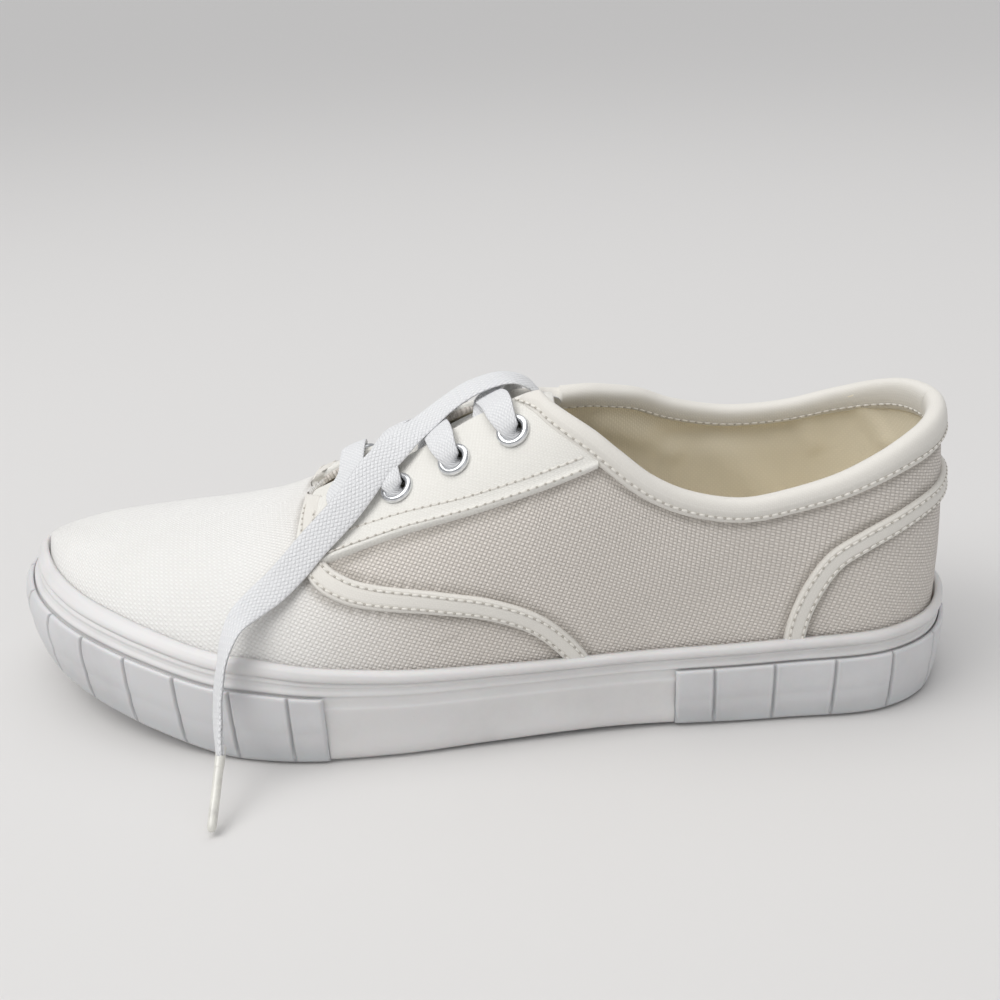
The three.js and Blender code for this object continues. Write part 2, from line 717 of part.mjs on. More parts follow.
function makeEyestay(side) {
  const above = sideRegion([...stay, sideView(stay.at(-1).x, high), sideView(stay[0].x, high)]);
  const piece = overlay.intersect(above)
    .subtract(vampStrip(clearance))
    .subtract(aboveCollar(bindingReach(clearance), clearance))
    .subtract(throat);
  return eyeletBores(half(piece, side), eyeletBarrel + clearance);
}

function makeCounterStrip() {
  return overlay.intersect(sideRegion(between(beside(counter, stripWidth), counter)))
    .subtract(belowTape)
    .subtract(aboveCollar(bindingReach(clearance), clearance));
}

// Padded edge of the collar, folded over the canvas
function makeBinding() {
  const reach = wall + clearance + bindingThickness;
  const room = layer(-wall - clearance, clearance).subtract(aboveCollar(bindingThickness));
  return layer(-reach, clearance + bindingThickness)
    .intersect(aboveCollar(bindingReach(0)))
    .subtract(aboveCollar(0))
    .subtract(room)
    .subtract(throat);
}

function makeEyelet(spot) {
  const foot = 2 * clearance + overlayThickness;
  const top = foot + eyeletFlange;
  const chamfer = 0.4;
  const profile = [
    [eyeletHole, -wall], [eyeletBarrel, -wall], [eyeletBarrel, foot], [eyeletRadius, foot],
    [eyeletRadius - chamfer, top], [eyeletHole, top], [eyeletHole, -wall],
  ].map(([radius, height]) => new THREE.Vector2(radius, height));
  const ring = new THREE.LatheGeometry(profile, roundSides);
  ring.rotateX(Math.PI / 2);
  return solidOf(placedOn(ring, spot));
}

// A flat lace along stops that each have a point and the direction of its face
function ribbon(stops, width, thickness) {
  const path = new THREE.CatmullRomCurve3(stops.map((s) => s.point), false, 'centripetal');
  const steps = stops.length + 1;
  const rings = [];
  for (let i = 0; i <= steps; i++) {
    const t = i / steps;
    const point = path.getPoint(t);
    const along = path.getTangent(t);
    const k = Math.min(Math.floor(t * (stops.length - 1)), stops.length - 2);
    const face = stops[k].normal.clone().lerp(stops[k + 1].normal, t * (stops.length - 1) - k);
    const across = new THREE.Vector3().crossVectors(along, face).normalize();
    const up = new THREE.Vector3().crossVectors(across, along).normalize();
    const corners = [[-1, -1], [-1, 1], [1, 1], [1, -1]];
    rings.push(corners.map(([a, b]) => point.clone()
      .addScaledVector(across, (a * width) / 2).addScaledVector(up, (b * thickness) / 2)));
  }
  return solidOf(sweep(rings, false));
}

// Lace that crosses the throat: over the edge of one facing at its eyelet, and down before the
// edge of the other facing, one eyelet nearer the toe
const overFacing = 2 * clearance + overlayThickness + laceThickness / 2;
const overEyelet = overFacing + clearance + eyeletFlange;
const laceOver = { eyelet: overEyelet, facing: overFacing, throat: overFacing - laceSag };
const laceStop = (row, side, { aside, over, lift }) => upperPoint(
  eyeletX(row), side * aside * eyeletY(row), laceOver[over] + lift * laceThickness);

function makeCrossing(row) {
  const strand = (side) => ribbon(
    crossingStops.map((stop) => laceStop(row + stop.part, side, stop)), laceWidth, laceThickness);
  return strand(-1).add(strand(1));
}

// The lace between the two eyelets nearest the toe
function makeBar(row) {
  const onSide = (side) => crossingStops.slice(0, stopsOnSide).map((stop) => laceStop(row, side, stop));
  const middle = laceStop(row, 0, { aside: 0, over: 'throat', lift: 0.4 });
  return ribbon([...onSide(-1), middle, ...onSide(1).reverse()], laceWidth, laceThickness);
}

const toPoint = ({ x, y, z }) => new THREE.Vector3(x, y, z);

function makeLaceEnd() {
  const path = new THREE.CatmullRomCurve3(laceEnd.map(toPoint), false, 'centripetal');
  const corner = (i) => new THREE.Vector2(laceEndRadius, 0).rotateAround(new THREE.Vector2(), (Math.PI * i) / 4);
  const section = new THREE.Shape(Array.from({ length: 8 }, (_, i) => corner(i)));
  return solidOf(new THREE.ExtrudeGeometry(section, { steps: 26, extrudePath: path }));
}

function makeAglet() {
  const from = toPoint(laceEnd.at(-1));
  const to = toPoint(agletTip);
  const run = to.clone().sub(from).normalize();
  from.addScaledVector(run, 2 * clearance);
  const pin = new THREE.CylinderGeometry(agletRadius, agletRadius, to.distanceTo(from), roundSides);
  pin.applyQuaternion(new THREE.Quaternion().setFromUnitVectors(new THREE.Vector3(0, 1, 0), run));
  const middle = from.lerp(to, 0.5);
  pin.translate(middle.x, middle.y, middle.z);
  return solidOf(pin);
}

// Materials
const paint = (color, roughness, metalness = 0) => new THREE.MeshStandardMaterial({ color, roughness, metalness });
const rubber = paint(0xe9e9ec, 0.45);
const canvas = paint(0xe6e3dc, 0.9);
const strip = paint(0xeceae4, 0.8);
const lining = paint(0xddd3b8, 0.9);
const laceCloth = paint(0xf1f3f6, 0.85);
const metal = paint(0xc9ccd0, 0.25, 1);

const shoe = new THREE.Group();
function addPiece(name, solid, material) {
  const mesh = new THREE.Mesh(geometryOf(solid), material);
  mesh.name = name;
  shoe.add(mesh);
}

addPiece('outsole', makeOutsole(), rubber);
addPiece('sole_tape', makeTape(), rubber);
addPiece('toe_band', makeBand((station) => station.x <= toeBandEnd), rubber);
addPiece('heel_band', makeBand((station) => station.x >= heelBandStart), rubber);
addPiece('insole', makeInsole(), lining);
addPiece('upper', makeUpper(), canvas);
addPiece('tongue', makeTongue(), canvas);
addPiece('collar_binding', makeBinding(), strip);
addPiece('counter_strip', makeCounterStrip(), strip);
for (const [name, side] of [['outer', -1], ['inner', 1]]) {
  addPiece(`eyestay_${name}`, makeEyestay(side), canvas);
  addPiece(`vamp_strip_${name}`, makeVampStrip(side), strip);
}
for (const spot of eyelets) {
  addPiece(`eyelet_${spot.side < 0 ? 'outer' : 'inner'}_${spot.row}`, makeEyelet(spot), metal);
}
for (let row = 1; row < eyeletCount; row++) addPiece(`lace_crossing_${row}`, makeCrossing(row), laceCloth);
addPiece('lace_bar', makeBar(eyeletCount), laceCloth);
addPiece('lace_end', makeLaceEnd(), laceCloth);
addPiece('aglet', makeAglet(), paint(0xd9d8cf, 0.35));

export default shoe;
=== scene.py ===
import math
import bpy
import bmesh
import numpy as np
from mathutils import Matrix, Vector


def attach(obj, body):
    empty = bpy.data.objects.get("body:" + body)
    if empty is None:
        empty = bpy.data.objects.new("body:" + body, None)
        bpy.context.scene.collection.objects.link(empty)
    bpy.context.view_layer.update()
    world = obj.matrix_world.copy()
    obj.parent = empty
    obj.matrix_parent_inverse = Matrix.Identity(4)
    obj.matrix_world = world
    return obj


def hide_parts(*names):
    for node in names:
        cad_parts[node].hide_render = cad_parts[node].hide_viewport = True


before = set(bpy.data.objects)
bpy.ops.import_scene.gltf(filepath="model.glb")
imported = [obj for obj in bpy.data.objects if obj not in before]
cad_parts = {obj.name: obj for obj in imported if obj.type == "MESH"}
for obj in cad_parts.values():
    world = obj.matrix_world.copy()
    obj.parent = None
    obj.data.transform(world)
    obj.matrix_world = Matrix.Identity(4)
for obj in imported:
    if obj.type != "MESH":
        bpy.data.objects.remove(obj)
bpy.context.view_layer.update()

mm = 0.001

# A left canvas shoe, worked out in millimetres: toe toward -X, outer side toward -Y, floor at 0


def newObject(name, data):
    item = bpy.data.objects.new(name, data)
    bpy.context.collection.objects.link(item)
    return item


# Camera

view = {"aim": (9.62, 0, 54.33), "distance": 346.72, "azimuth": -2.87, "elevation": 24.78,
        "roll": -2.8, "lens": 42.84}


def addCamera():
    az, el, roll = (math.radians(view[name]) for name in ("azimuth", "elevation", "roll"))
    back = Vector((-math.sin(az) * math.cos(el), -math.cos(az) * math.cos(el), math.sin(el)))
    level = (-back).cross(Vector((0, 0, 1))).normalized()
    upright = level.cross(-back)
    right = level * math.cos(roll) + upright * math.sin(roll)
    up = upright * math.cos(roll) - level * math.sin(roll)
    place = (Vector(view["aim"]) + view["distance"] * back) * mm
    data = bpy.data.cameras.new("camera")
    data.lens = view["lens"]
    data.sensor_width = 36
    data.clip_start = 0.01
    camera = newObject("camera", data)
    camera.matrix_world = Matrix.Translation(place) @ Matrix((right, up, back)).transposed().to_4x4()
    bpy.context.scene.camera = camera


addCamera()

# Sizes of the shoe, as in the model

shoe = {"length": 278, "ballWidth": 103, "toeSpring": 15, "soleThickness": 13, "tapeHeight": 28,
        "lastHeight": 112, "heelLean": 4.5, "leanStart": 0.72, "leanFoot": 0.46, "leanCurve": 1.6,
        "toeSetback": 5, "setbackStart": 0.17, "clearance": 0.3, "wall": 2, "tapeThickness": 1.9,
        "tapeFoot": 0.8, "bandThickness": 1.2, "bandShare": 0.745, "heelHeight": 84.5,
        "throatHalfWidth": 9.7, "throatBase": -46, "bindingWidth": 6.5}
sides = ((-1, "outer"), (1, "inner"))

# along: share of the length from its middle, aside: share of half the ball width
outline = np.array([
    (0.5, 0), (0.475, -0.42), (0.42, -0.64), (0.31, -0.715), (0.17, -0.78), (0.03, -0.9), (-0.08, -1),
    (-0.17, -1.03), (-0.26, -0.945), (-0.34, -0.785), (-0.42, -0.52), (-0.475, -0.18), (-0.5, 0.2),
    (-0.487, 0.52), (-0.445, 0.73), (-0.36, 0.91), (-0.26, 0.98), (-0.15, 0.94), (0, 0.81),
    (0.14, 0.65), (0.28, 0.67), (0.4, 0.65), (0.47, 0.43)])
sectionColumns = {"spring": 1, "crest": 2, "tape": 3, "shoulder": 4, "rise": 5, "ridge": 6}
sections = np.array([
    (0, 1, 0.321, 0.91, 2.3, 1.9, 0), (0.04, 0.83, 0.384, 0.98, 2.4, 2, 0),
    (0.1, 0.6, 0.415, 1.05, 2.5, 2.2, 0), (0.18, 0.3, 0.433, 1.1, 2.5, 2.3, 0.02),
    (0.28, 0, 0.473, 1.11, 2.4, 2.3, 0.04), (0.36, 0, 0.554, 1.035, 2.2, 2.2, 0.06),
    (0.44, 0, 0.652, 0.965, 2.1, 2.2, 0.05), (0.52, 0.03, 0.757, 0.91, 2.1, 2.3, 0),
    (0.62, 0.06, 0.857, 0.875, 2.2, 2.7, -0.06), (0.78, 0, 0.955, 0.92, 2.3, 3.4, -0.01),
    (1, 0, 1, 0.98, 2.4, 4, 0)])
# along, height on the outer side, height on the inner side, binding width as a share
collarRows = np.array([
    (0.03, 1.091, 0.978, 0.5), (0.072, 1.093, 0.982, 0.68), (0.1, 1.066, 0.983, 0.9),
    (0.129, 1.019, 0.986, 1), (0.153, 0.960, 0.973, 1), (0.185, 0.879, 0.946, 1),
    (0.218, 0.827, 0.893, 1), (0.266, 0.796, 0.851, 1), (0.303, 0.809, 0.843, 1),
    (0.353, 0.852, 0.858, 1.05), (0.402, 0.922, 0.907, 1.2), (0.438, 0.969, 0.953, 1.4),
    (0.475, 0.998, 0.998, 1.5), (0.56, 1.018, 1.018, 1.5)])
# Seams of the side view: along, height
stayRows = np.array([
    (-0.17, 0.565), (-0.148, 0.592), (-0.06, 0.695), (0.034, 0.791), (0.134, 0.910), (0.2, 0.994)])
vampRows = np.array([
    (-0.166, 0.824), (-0.163, 0.659), (-0.147, 0.569), (-0.113, 0.518), (-0.023, 0.481),
    (0.027, 0.450), (0.067, 0.390), (0.1, 0.272), (0.115, 0.154)])
counterRows = np.array([
    (0.307, 0.154), (0.319, 0.413), (0.348, 0.593), (0.379, 0.665), (0.416, 0.722),
    (0.449, 0.756), (0.56, 0.793)])
# Flare of the throat's top, outer and inner side, and half width of the tongue
flareRows = np.array([
    (0.03, 1, 1), (0.05, 1.05, 1.1), (0.07, 1.15, 1.3), (0.087, 1.4, 1.5), (0.1, 1.7, 1.6)])
tongueRows = np.array([
    (-0.225, 0.45), (-0.2, 0.68), (-0.12, 0.86), (0, 0.97), (0.06, 0.98), (0.08, 0.8), (0.087, 0.5)])
tongueHalfWidth = 25


# Value of a table's column at a place, on a cubic that keeps the rows' own highs and lows
def smooth(rows, column, at):
    place, value = rows[:, 0], rows[:, column]
    slope = np.diff(value) / np.diff(place)
    total = slope[:-1] + slope[1:]
    same = slope[:-1] * slope[1:] > 0
    inner = np.where(same, 2 * slope[:-1] * slope[1:] / np.where(same, total, 1), 0)
    tangent = np.concatenate([slope[:1], inner, slope[-1:]])
    at = np.clip(at, place[0], place[-1])
    i = np.clip(np.searchsorted(place, at, side="right") - 1, 0, len(place) - 2)
    span = place[i + 1] - place[i]
    t = (at - place[i]) / span
    return (value[i] * (2 * t**3 - 3 * t**2 + 1) + value[i + 1] * (3 * t**2 - 2 * t**3)
            + span * (tangent[i] * (t**3 - 2 * t**2 + t) + tangent[i + 1] * (t**3 - t**2)))


# Smooth curve through points, evenly timed: centripetal Catmull-Rom
def curveThrough(points, count, closed=False):
    p = np.asarray(points, float)
    if closed:
        held, spans = np.vstack([p[-1:], p, p[:2]]), len(p)
    else:
        held, spans = np.vstack([2 * p[0] - p[1], p, 2 * p[-1] - p[-2]]), len(p) - 1
    t = np.linspace(0, spans, count, endpoint=not closed)
    i = np.minimum(t.astype(int), spans - 1)
    w = (t - i)[:, None]
    a, b, c, d = (held[i + k] for k in range(4))
    gap = lambda m, n: np.sqrt(np.maximum(np.linalg.norm(n - m, axis=1, keepdims=True), 1e-9))
    ab, bc, cd = gap(a, b), gap(b, c), gap(c, d)
    start = ((b - a) / ab - (c - a) / (ab + bc) + (c - b) / bc) * bc
    end = ((c - b) / bc - (d - b) / (bc + cd) + (d - c) / cd) * bc
    return (b + start * w + (3 * c - 3 * b - 2 * start - end) * w**2
            + (2 * b - 2 * c + start + end) * w**3)


def unit(v):
    return v / np.maximum(np.linalg.norm(v, axis=-1, keepdims=True), 1e-9)


def ease(t):
    t = np.clip(t, 0, 1)
    return t * t * (3 - 2 * t)


# Soft bump of one: exp(-(away / width)^2)
def bell(away, width):
    return np.exp(-(away / width) ** 2)


# Even turns round a ring, and a squared circle on them: |cos|^power and |sin|^power, signs kept
def turns(count):
    return np.linspace(0, 2 * math.pi, count, endpoint=False)


def squaredCircle(turn, power):
    return [np.sign(wave) * np.abs(wave) ** power for wave in (np.cos(turn), np.sin(turn))]


# Length run along a path up to each of its points, and values along it read at such lengths
def runLength(path):
    return np.concatenate([[0], np.cumsum(np.linalg.norm(np.diff(path, axis=0), axis=1))])


def readAt(at, length, values):
    return np.stack([np.interp(at, length, column) for column in values.T], -1)


def section(name, x):
    return smooth(sections, sectionColumns[name], np.asarray(x) / shoe["length"] + 0.5)


def treadHeight(x):
    return shoe["toeSpring"] * section("spring", x)


def featherHeight(x):
    return treadHeight(x) + shoe["soleThickness"]


def tapeTop(x):
    return treadHeight(x) + shoe["tapeHeight"] * section("tape", x)


def setback(x):
    return shoe["toeSetback"] * np.clip(1 - (x / shoe["length"] + 0.5) / shoe["setbackStart"], 0, 1)


# Outline of the sole, its outward directions, and the last inside it, point by point
soleLine = curveThrough(outline * (shoe["length"], shoe["ballWidth"] / 2), 23 * 48, closed=True)
lineRun = unit(np.roll(soleLine, -1, axis=0) - np.roll(soleLine, 1, axis=0))
soleOut = np.stack([-lineRun[:, 1], lineRun[:, 0]], -1)
lastInset = shoe["bandThickness"] + shoe["tapeThickness"] + 2 * shoe["clearance"]
lastLine = soleLine - lastInset * soleOut
lastLine[:, 0] += setback(lastLine[:, 0])
toeAt, heelAt = lastLine[:, 0].argmin(), lastLine[:, 0].argmax()
around = len(lastLine)
outerIndex = (heelAt + np.arange((toeAt - heelAt) % around + 1)) % around
innerIndex = (toeAt + np.arange((heelAt - toeAt) % around + 1)) % around
outerSide, innerSide = lastLine[outerIndex[::-1]], lastLine[innerIndex]
lastToe, lastHeel = lastLine[toeAt, 0], lastLine[heelAt, 0]


# Outer edge, inner edge and crest line of the last at a station
def crossing(x):
    outer = np.interp(x, outerSide[:, 0], outerSide[:, 1])
    inner = np.interp(x, innerSide[:, 0], innerSide[:, 1])
    crestY = (outer + inner) / 2 + shoe["ballWidth"] * section("ridge", x)
    return outer, inner, crestY


def leanOf(x, z):
    nearHeel = np.clip((x / shoe["length"] + 0.5 - shoe["leanStart"]) / (1 - shoe["leanStart"]), 0, 1)
    over = np.maximum((z / shoe["heelHeight"] - shoe["leanFoot"]) / (1 - shoe["leanFoot"]), 0)
    return shoe["heelLean"] * nearHeel**2 * over**shoe["leanCurve"]


# The last: y = crest line + reach * cos^(2 / shoulder), z = foot + height * sin^(2 / rise), with the
# angle going from the outer lower edge over the crest to the inner one
def lastPoint(x, angle):
    x, angle = np.broadcast_arrays(np.asarray(x, float), np.asarray(angle, float))
    outer, inner, crestY = crossing(x)
    foot = featherHeight(x)
    height = shoe["lastHeight"] * section("crest", x) - foot
    reach = np.where(np.cos(angle) > 0, outer - crestY, inner - crestY)
    y = crestY + reach * np.abs(np.cos(angle)) ** (2 / section("shoulder", x))
    z = foot + height * np.abs(np.sin(angle)) ** (2 / section("rise", x))
    return np.stack([x - leanOf(x, z), y, z], -1)


# Outward direction: across two short steps, one along the shoe and one round it
def lastNormal(x, angle):
    x, angle = np.broadcast_arrays(np.asarray(x, float), np.asarray(angle, float))
    fore, aft = np.clip(x - 0.5, lastToe, lastHeel), np.clip(x + 0.5, lastToe, lastHeel)
    less, more = np.clip(angle - 0.012, 0, math.pi), np.clip(angle + 0.012, 0, math.pi)
    normal = np.cross(lastPoint(aft, angle) - lastPoint(fore, angle),
                      lastPoint(x, more) - lastPoint(x, less))
    for end, sign in ((lastToe, -1), (lastHeel, 1)):
        atEnd = np.abs(x - end) < 1e-6
        normal[atEnd] = unit(normal[atEnd]) * (0, 0, 1) + (sign * 3, 0, 0)
    return unit(normal)


def lifted(x, angle, lift):
    x, angle, lift = np.broadcast_arrays(x, angle, lift)
    return lastPoint(x, angle) + lastNormal(x, angle) * lift[..., None]


# Angle on the last for a place of the side view, with the station before the heel's lean
def fromSide(x, z, side):
    station = np.array(x, float)
    for _ in range(4):
        station = np.clip(x + leanOf(station, z), lastToe, lastHeel)
    foot = featherHeight(station)
    over = np.clip((z - foot) / (shoe["lastHeight"] * section("crest", station) - foot), 0, 1)
    angle = np.arcsin(over ** (section("rise", station) / 2))
    return station, angle if side < 0 else math.pi - angle


# Angle for a place of the top view
def fromTop(x, y):
    outer, inner, crestY = crossing(x)
    reach = np.where(y < crestY, np.minimum(outer - crestY, -1e-6), np.maximum(inner - crestY, 1e-6))
    cosine = np.clip((y - crestY) / reach, 0, 1) ** (section("shoulder", x) / 2)
    return np.where(y < crestY, np.arccos(cosine), math.pi - np.arccos(cosine))


# A seam of the side view from its table, and a line at a reach beside it, downward when positive
def sideLine(rows, count, column=1):
    return curveThrough(rows[:, [0, column]] * (shoe["length"], shoe["heelHeight"]), count)


def beside(line, reach):
    run = unit(np.gradient(line, axis=0))
    return line + np.stack([run[:, 1], -run[:, 0]], -1) * np.reshape(reach, (-1, 1))


collarTop = {-1: sideLine(collarRows, 300, 1), 1: sideLine(collarRows, 300, 2)}
stayLine = sideLine(stayRows, 160)
vampLine = sideLine(vampRows, 240)
counterLine = sideLine(counterRows, 240)


def bindingReach(x):
    return shoe["bindingWidth"] * smooth(collarRows, 3, x / shoe["length"])


# Angle, 0 to a quarter turn, at which a station's section meets the collar line lowered by a reach
def collarAngle(x, side, lowered):
    line = beside(collarTop[side], lowered(collarTop[side][:, 0]))
    low, high = np.zeros_like(x), np.full_like(x, math.pi / 2)
    for _ in range(26):
        middle = (low + high) / 2
        p = lastPoint(x, middle if side < 0 else math.pi - middle)
        above = p[..., 2] > np.interp(p[..., 0], line[:, 0], line[:, 1])
        low, high = np.where(above, low, middle), np.where(above, middle, high)
    return middle


# Half width of the throat: a round front end, straight sides and a flare at the top
def throatWidth(x, side):
    radius, base = shoe["throatHalfWidth"], shoe["throatBase"]
    ahead = np.clip(base + radius - x, 0, radius)
    column = 1 if side < 0 else 2
    return np.sqrt(radius**2 - ahead**2) * smooth(flareRows, column, x / shoe["length"])


# Angle of the upper's edge at a station: the join over the toe, then the throat, then the collar
def edgeAngle(x, side, lowered=lambda x: 0 * x + 1.8):
    base, end = shoe["throatBase"], flareRows[-1, 0] * shoe["length"]
    crestY = crossing(x)[2]
    join = fromTop(x, crestY * ease((base - x) / 20))
    throat = np.where(x < base, join, fromTop(x, side * throatWidth(x, side)))
    collar = collarAngle(x, side, lowered)
    if side < 0:
        return np.minimum(np.where(x > end, math.pi, throat), np.where(x > 0, collar, math.pi))
    return np.maximum(np.where(x > end, 0, throat), math.pi - np.where(x > 0, collar, math.pi))


# Stations from toe to heel, close together at both ends
def stations(count, start=None, end=None):
    start = lastToe if start is None else start
    end = lastHeel if end is None else end
    low, high = (math.acos(np.clip(1 - 2 * (x - lastToe) / (lastHeel - lastToe), -1, 1))
                 for x in (start, end))
    x = lastToe + (lastHeel - lastToe) * (1 - np.cos(np.linspace(low, high, count))) / 2
    x[0], x[-1] = start, end
    return x


print("last worked out")

# Mesh helpers


def gridFaces(rows, columns, closeRows=False, closeColumns=False):
    index = np.arange(rows * columns).reshape(rows, columns)
    if closeRows:
        index = np.vstack([index, index[:1]])
    if closeColumns:
        index = np.hstack([index, index[:, :1]])
    return np.stack([index[:-1, :-1], index[1:, :-1], index[1:, 1:], index[:-1, 1:]], -1).reshape(-1, 4)


# marks: named values of the points, such as the share of painted shade
def makeMesh(name, points, faces, uv=None, marks=None, merge=0.01, smoothAngle=40):
    mesh = bpy.data.meshes.new(name)
    points = np.asarray(points, float).reshape(-1, 3) * mm
    mesh.from_pydata(points.tolist(), [], [list(f) for f in faces])
    if uv is not None:
        layer = mesh.uv_layers.new(name="cloth")
        corner = np.empty(len(mesh.loops), int)
        mesh.loops.foreach_get("vertex_index", corner)
        layer.data.foreach_set("uv", np.asarray(uv, np.float32).reshape(-1, 2)[corner].ravel())
    for mark, values in (marks or {}).items():
        attribute = mesh.attributes.new(mark, "FLOAT", "POINT")
        attribute.data.foreach_set("value", np.asarray(values, np.float32).ravel())
    if merge:
        shape = bmesh.new()
        shape.from_mesh(mesh)
        bmesh.ops.remove_doubles(shape, verts=shape.verts, dist=merge * mm)
        bmesh.ops.dissolve_degenerate(shape, dist=1e-7, edges=shape.edges)
        shape.to_mesh(mesh)
        shape.free()
    mesh.shade_smooth()
    if smoothAngle:
        mesh.set_sharp_from_angle(angle=math.radians(smoothAngle))
    return newObject(name, mesh)


def turnOut(piece):
    shape = bmesh.new()
    shape.from_mesh(piece.data)
    bmesh.ops.recalc_face_normals(shape, faces=shape.faces)
    shape.to_mesh(piece.data)
    shape.free()
    return piece


def finishPiece(piece, material, nodes=()):
    piece.data.materials.append(material)
    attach(piece, "root")
    if nodes:
        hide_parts(*nodes)


# Closed skin of rings, each ring closed, with or without a closed row of rings
def ringMesh(name, rings, closed=False, uv=None, marks=None, smoothAngle=0):
    rows, columns = rings.shape[:2]
    faces = gridFaces(rows, columns, closeRows=closed, closeColumns=True).tolist()
    if not closed:
        faces += [list(range(columns)), list(range((rows - 1) * columns, rows * columns))[::-1]]
    return turnOut(makeMesh(name, rings, faces, uv, marks, smoothAngle=smoothAngle))


# Closed plate between a top and a bottom grid, without the cells that a mask drops
def plateMesh(name, top, bottom, uv, keep=None):
    rows, columns = top.shape[:2]
    half = rows * columns
    faces = gridFaces(rows, columns)
    if keep is not None:
        faces = faces[keep.reshape(-1)]
    edges = np.concatenate([faces[:, [k, (k + 1) % 4]] for k in range(4)])
    seen = set(map(tuple, edges.tolist()))
    rim = [[b, a, a + half, b + half] for a, b in seen if (b, a) not in seen]
    every = faces.tolist() + (faces[:, ::-1] + half).tolist() + rim
    return turnOut(makeMesh(name, np.stack([top, bottom]), every, np.stack([uv, uv]), smoothAngle=50))


# Cloth coordinates in millimetres: length run along both ways of a grid, from a middle line
def clothUv(grid):
    alongRows = np.linalg.norm(np.diff(grid, axis=0), axis=-1)
    alongColumns = np.linalg.norm(np.diff(grid, axis=1), axis=-1)
    u = np.vstack([np.zeros(grid.shape[1]), np.cumsum(alongRows, axis=0)])
    v = np.hstack([np.zeros((grid.shape[0], 1)), np.cumsum(alongColumns, axis=1)])
    return np.stack([u - u[len(u) // 2], v], -1)


# Cloth coordinates of rings: length along a path, and a place round each ring
def ringUv(path, flat):
    return np.stack(np.broadcast_arrays(runLength(path)[:, None], flat[None]), -1)


# Materials


# A value is a link when it has links of its own, and a colour of three numbers gets its alpha
def plug(tree, socket, value):
    if hasattr(value, "links"):
        tree.links.new(value, socket)
    elif socket.type == "RGBA":
        socket.default_value = (*value, 1)
    else:
        socket.default_value = value


def addNode(tree, kind, inputs=None, **settings):
    node = tree.nodes.new("ShaderNode" + kind)
    for name, value in settings.items():
        setattr(node, name, value)
    for name, value in (inputs or {}).items():
        plug(tree, node.inputs[name], value)
    return node


def newGroup(name, inputs, outputs):
    group = bpy.data.node_groups.new(name, "ShaderNodeTree")
    for label in inputs + outputs:
        kind = "NodeSocketVector" if label == "Cloth" else "NodeSocketFloat"
        way = "INPUT" if label in inputs else "OUTPUT"
        group.interface.new_socket(name=label, in_out=way, socket_type=kind)
    return group, group.nodes.new("NodeGroupInput").outputs, group.nodes.new("NodeGroupOutput").inputs


def newMaterial(name, inputs):
    material = bpy.data.materials.new(name)
    material.use_nodes = True
    tree = material.node_tree
    shader = tree.nodes["Principled BSDF"]
    for label, value in {"Sheen Roughness": 0.6, **inputs}.items():
        plug(tree, shader.inputs[label], value)
    return material, tree, shader


def math2(tree, operation, *values):
    return addNode(tree, "Math", dict(enumerate(values)), operation=operation).outputs[0]


def times(tree, a, b):
    return math2(tree, "MULTIPLY", a, b)


def plus(tree, a, b):
    return math2(tree, "ADD", a, b)


def mixed(tree, mask, a, b):
    return addNode(tree, "Mix", {"Factor": mask, 6: a, 7: b}, data_type="RGBA").outputs[2]


def bumped(tree, shader, height, strength, distance):
    bump = addNode(tree, "Bump", {"Strength": strength, "Distance": distance, "Height": height})
    plug(tree, shader.inputs["Normal"], bump.outputs[0])


# Plain weave: a hump in each cell, high in every other one, and a little yarn noise
def makeWeave():
    group, into, out = newGroup("weave", ["Cloth", "Yarn"], ["Height", "Gap"])
    scaled = addNode(group, "VectorMath", {0: into["Cloth"], "Scale": into["Yarn"]},
                     operation="SCALE").outputs[0]
    split = addNode(group, "SeparateXYZ", {0: scaled}).outputs
    hump = [math2(group, "ABSOLUTE", math2(group, "SINE", times(group, split[k], math.pi)))
            for k in (0, 1)]
    cell = plus(group, math2(group, "FLOOR", split[0]), math2(group, "FLOOR", split[1]))
    odd = math2(group, "FLOORED_MODULO", cell, 2)
    crossed = math2(group, "POWER", times(group, *hump), 0.6)
    both = times(group, crossed, plus(group, 0.3, times(group, odd, 0.7)))
    noise = addNode(group, "TexNoise", {"Vector": scaled, "Scale": 0.7, "Detail": 3}).outputs[0]
    plug(group, out["Height"], plus(group, math2(group, "SQRT", both), times(group, noise, 0.35)))
    plug(group, out["Gap"], math2(group, "SUBTRACT", 1, math2(group, "POWER", both, 0.4)))
    return group


# Soft dirt: a slow noise on the object, turned to a mask between two levels
def makeDirt():
    group, into, out = newGroup("dirt", ["Scale", "Low", "High"], ["Mask"])
    place = addNode(group, "TexCoord").outputs["Object"]
    noise = addNode(group, "TexNoise", {
        "Vector": place, "Scale": into["Scale"], "Detail": 5, "Roughness": 0.6}).outputs[0]
    span = addNode(group, "MapRange", {
        "Value": noise, "From Min": into["Low"], "From Max": into["High"]}).outputs[0]
    plug(group, out["Mask"], span)
    return group


weave = makeWeave()
dirt = makeDirt()


def woven(tree, place, yarns):
    return addNode(tree, "Group", {"Cloth": place, "Yarn": yarns}, node_tree=weave).outputs


def dirtMask(tree, scale, low, high):
    return addNode(tree, "Group", {"Scale": scale, "Low": low, "High": high}, node_tree=dirt).outputs[0]


def readMark(tree, name):
    return addNode(tree, "Attribute", attribute_name=name).outputs["Fac"]
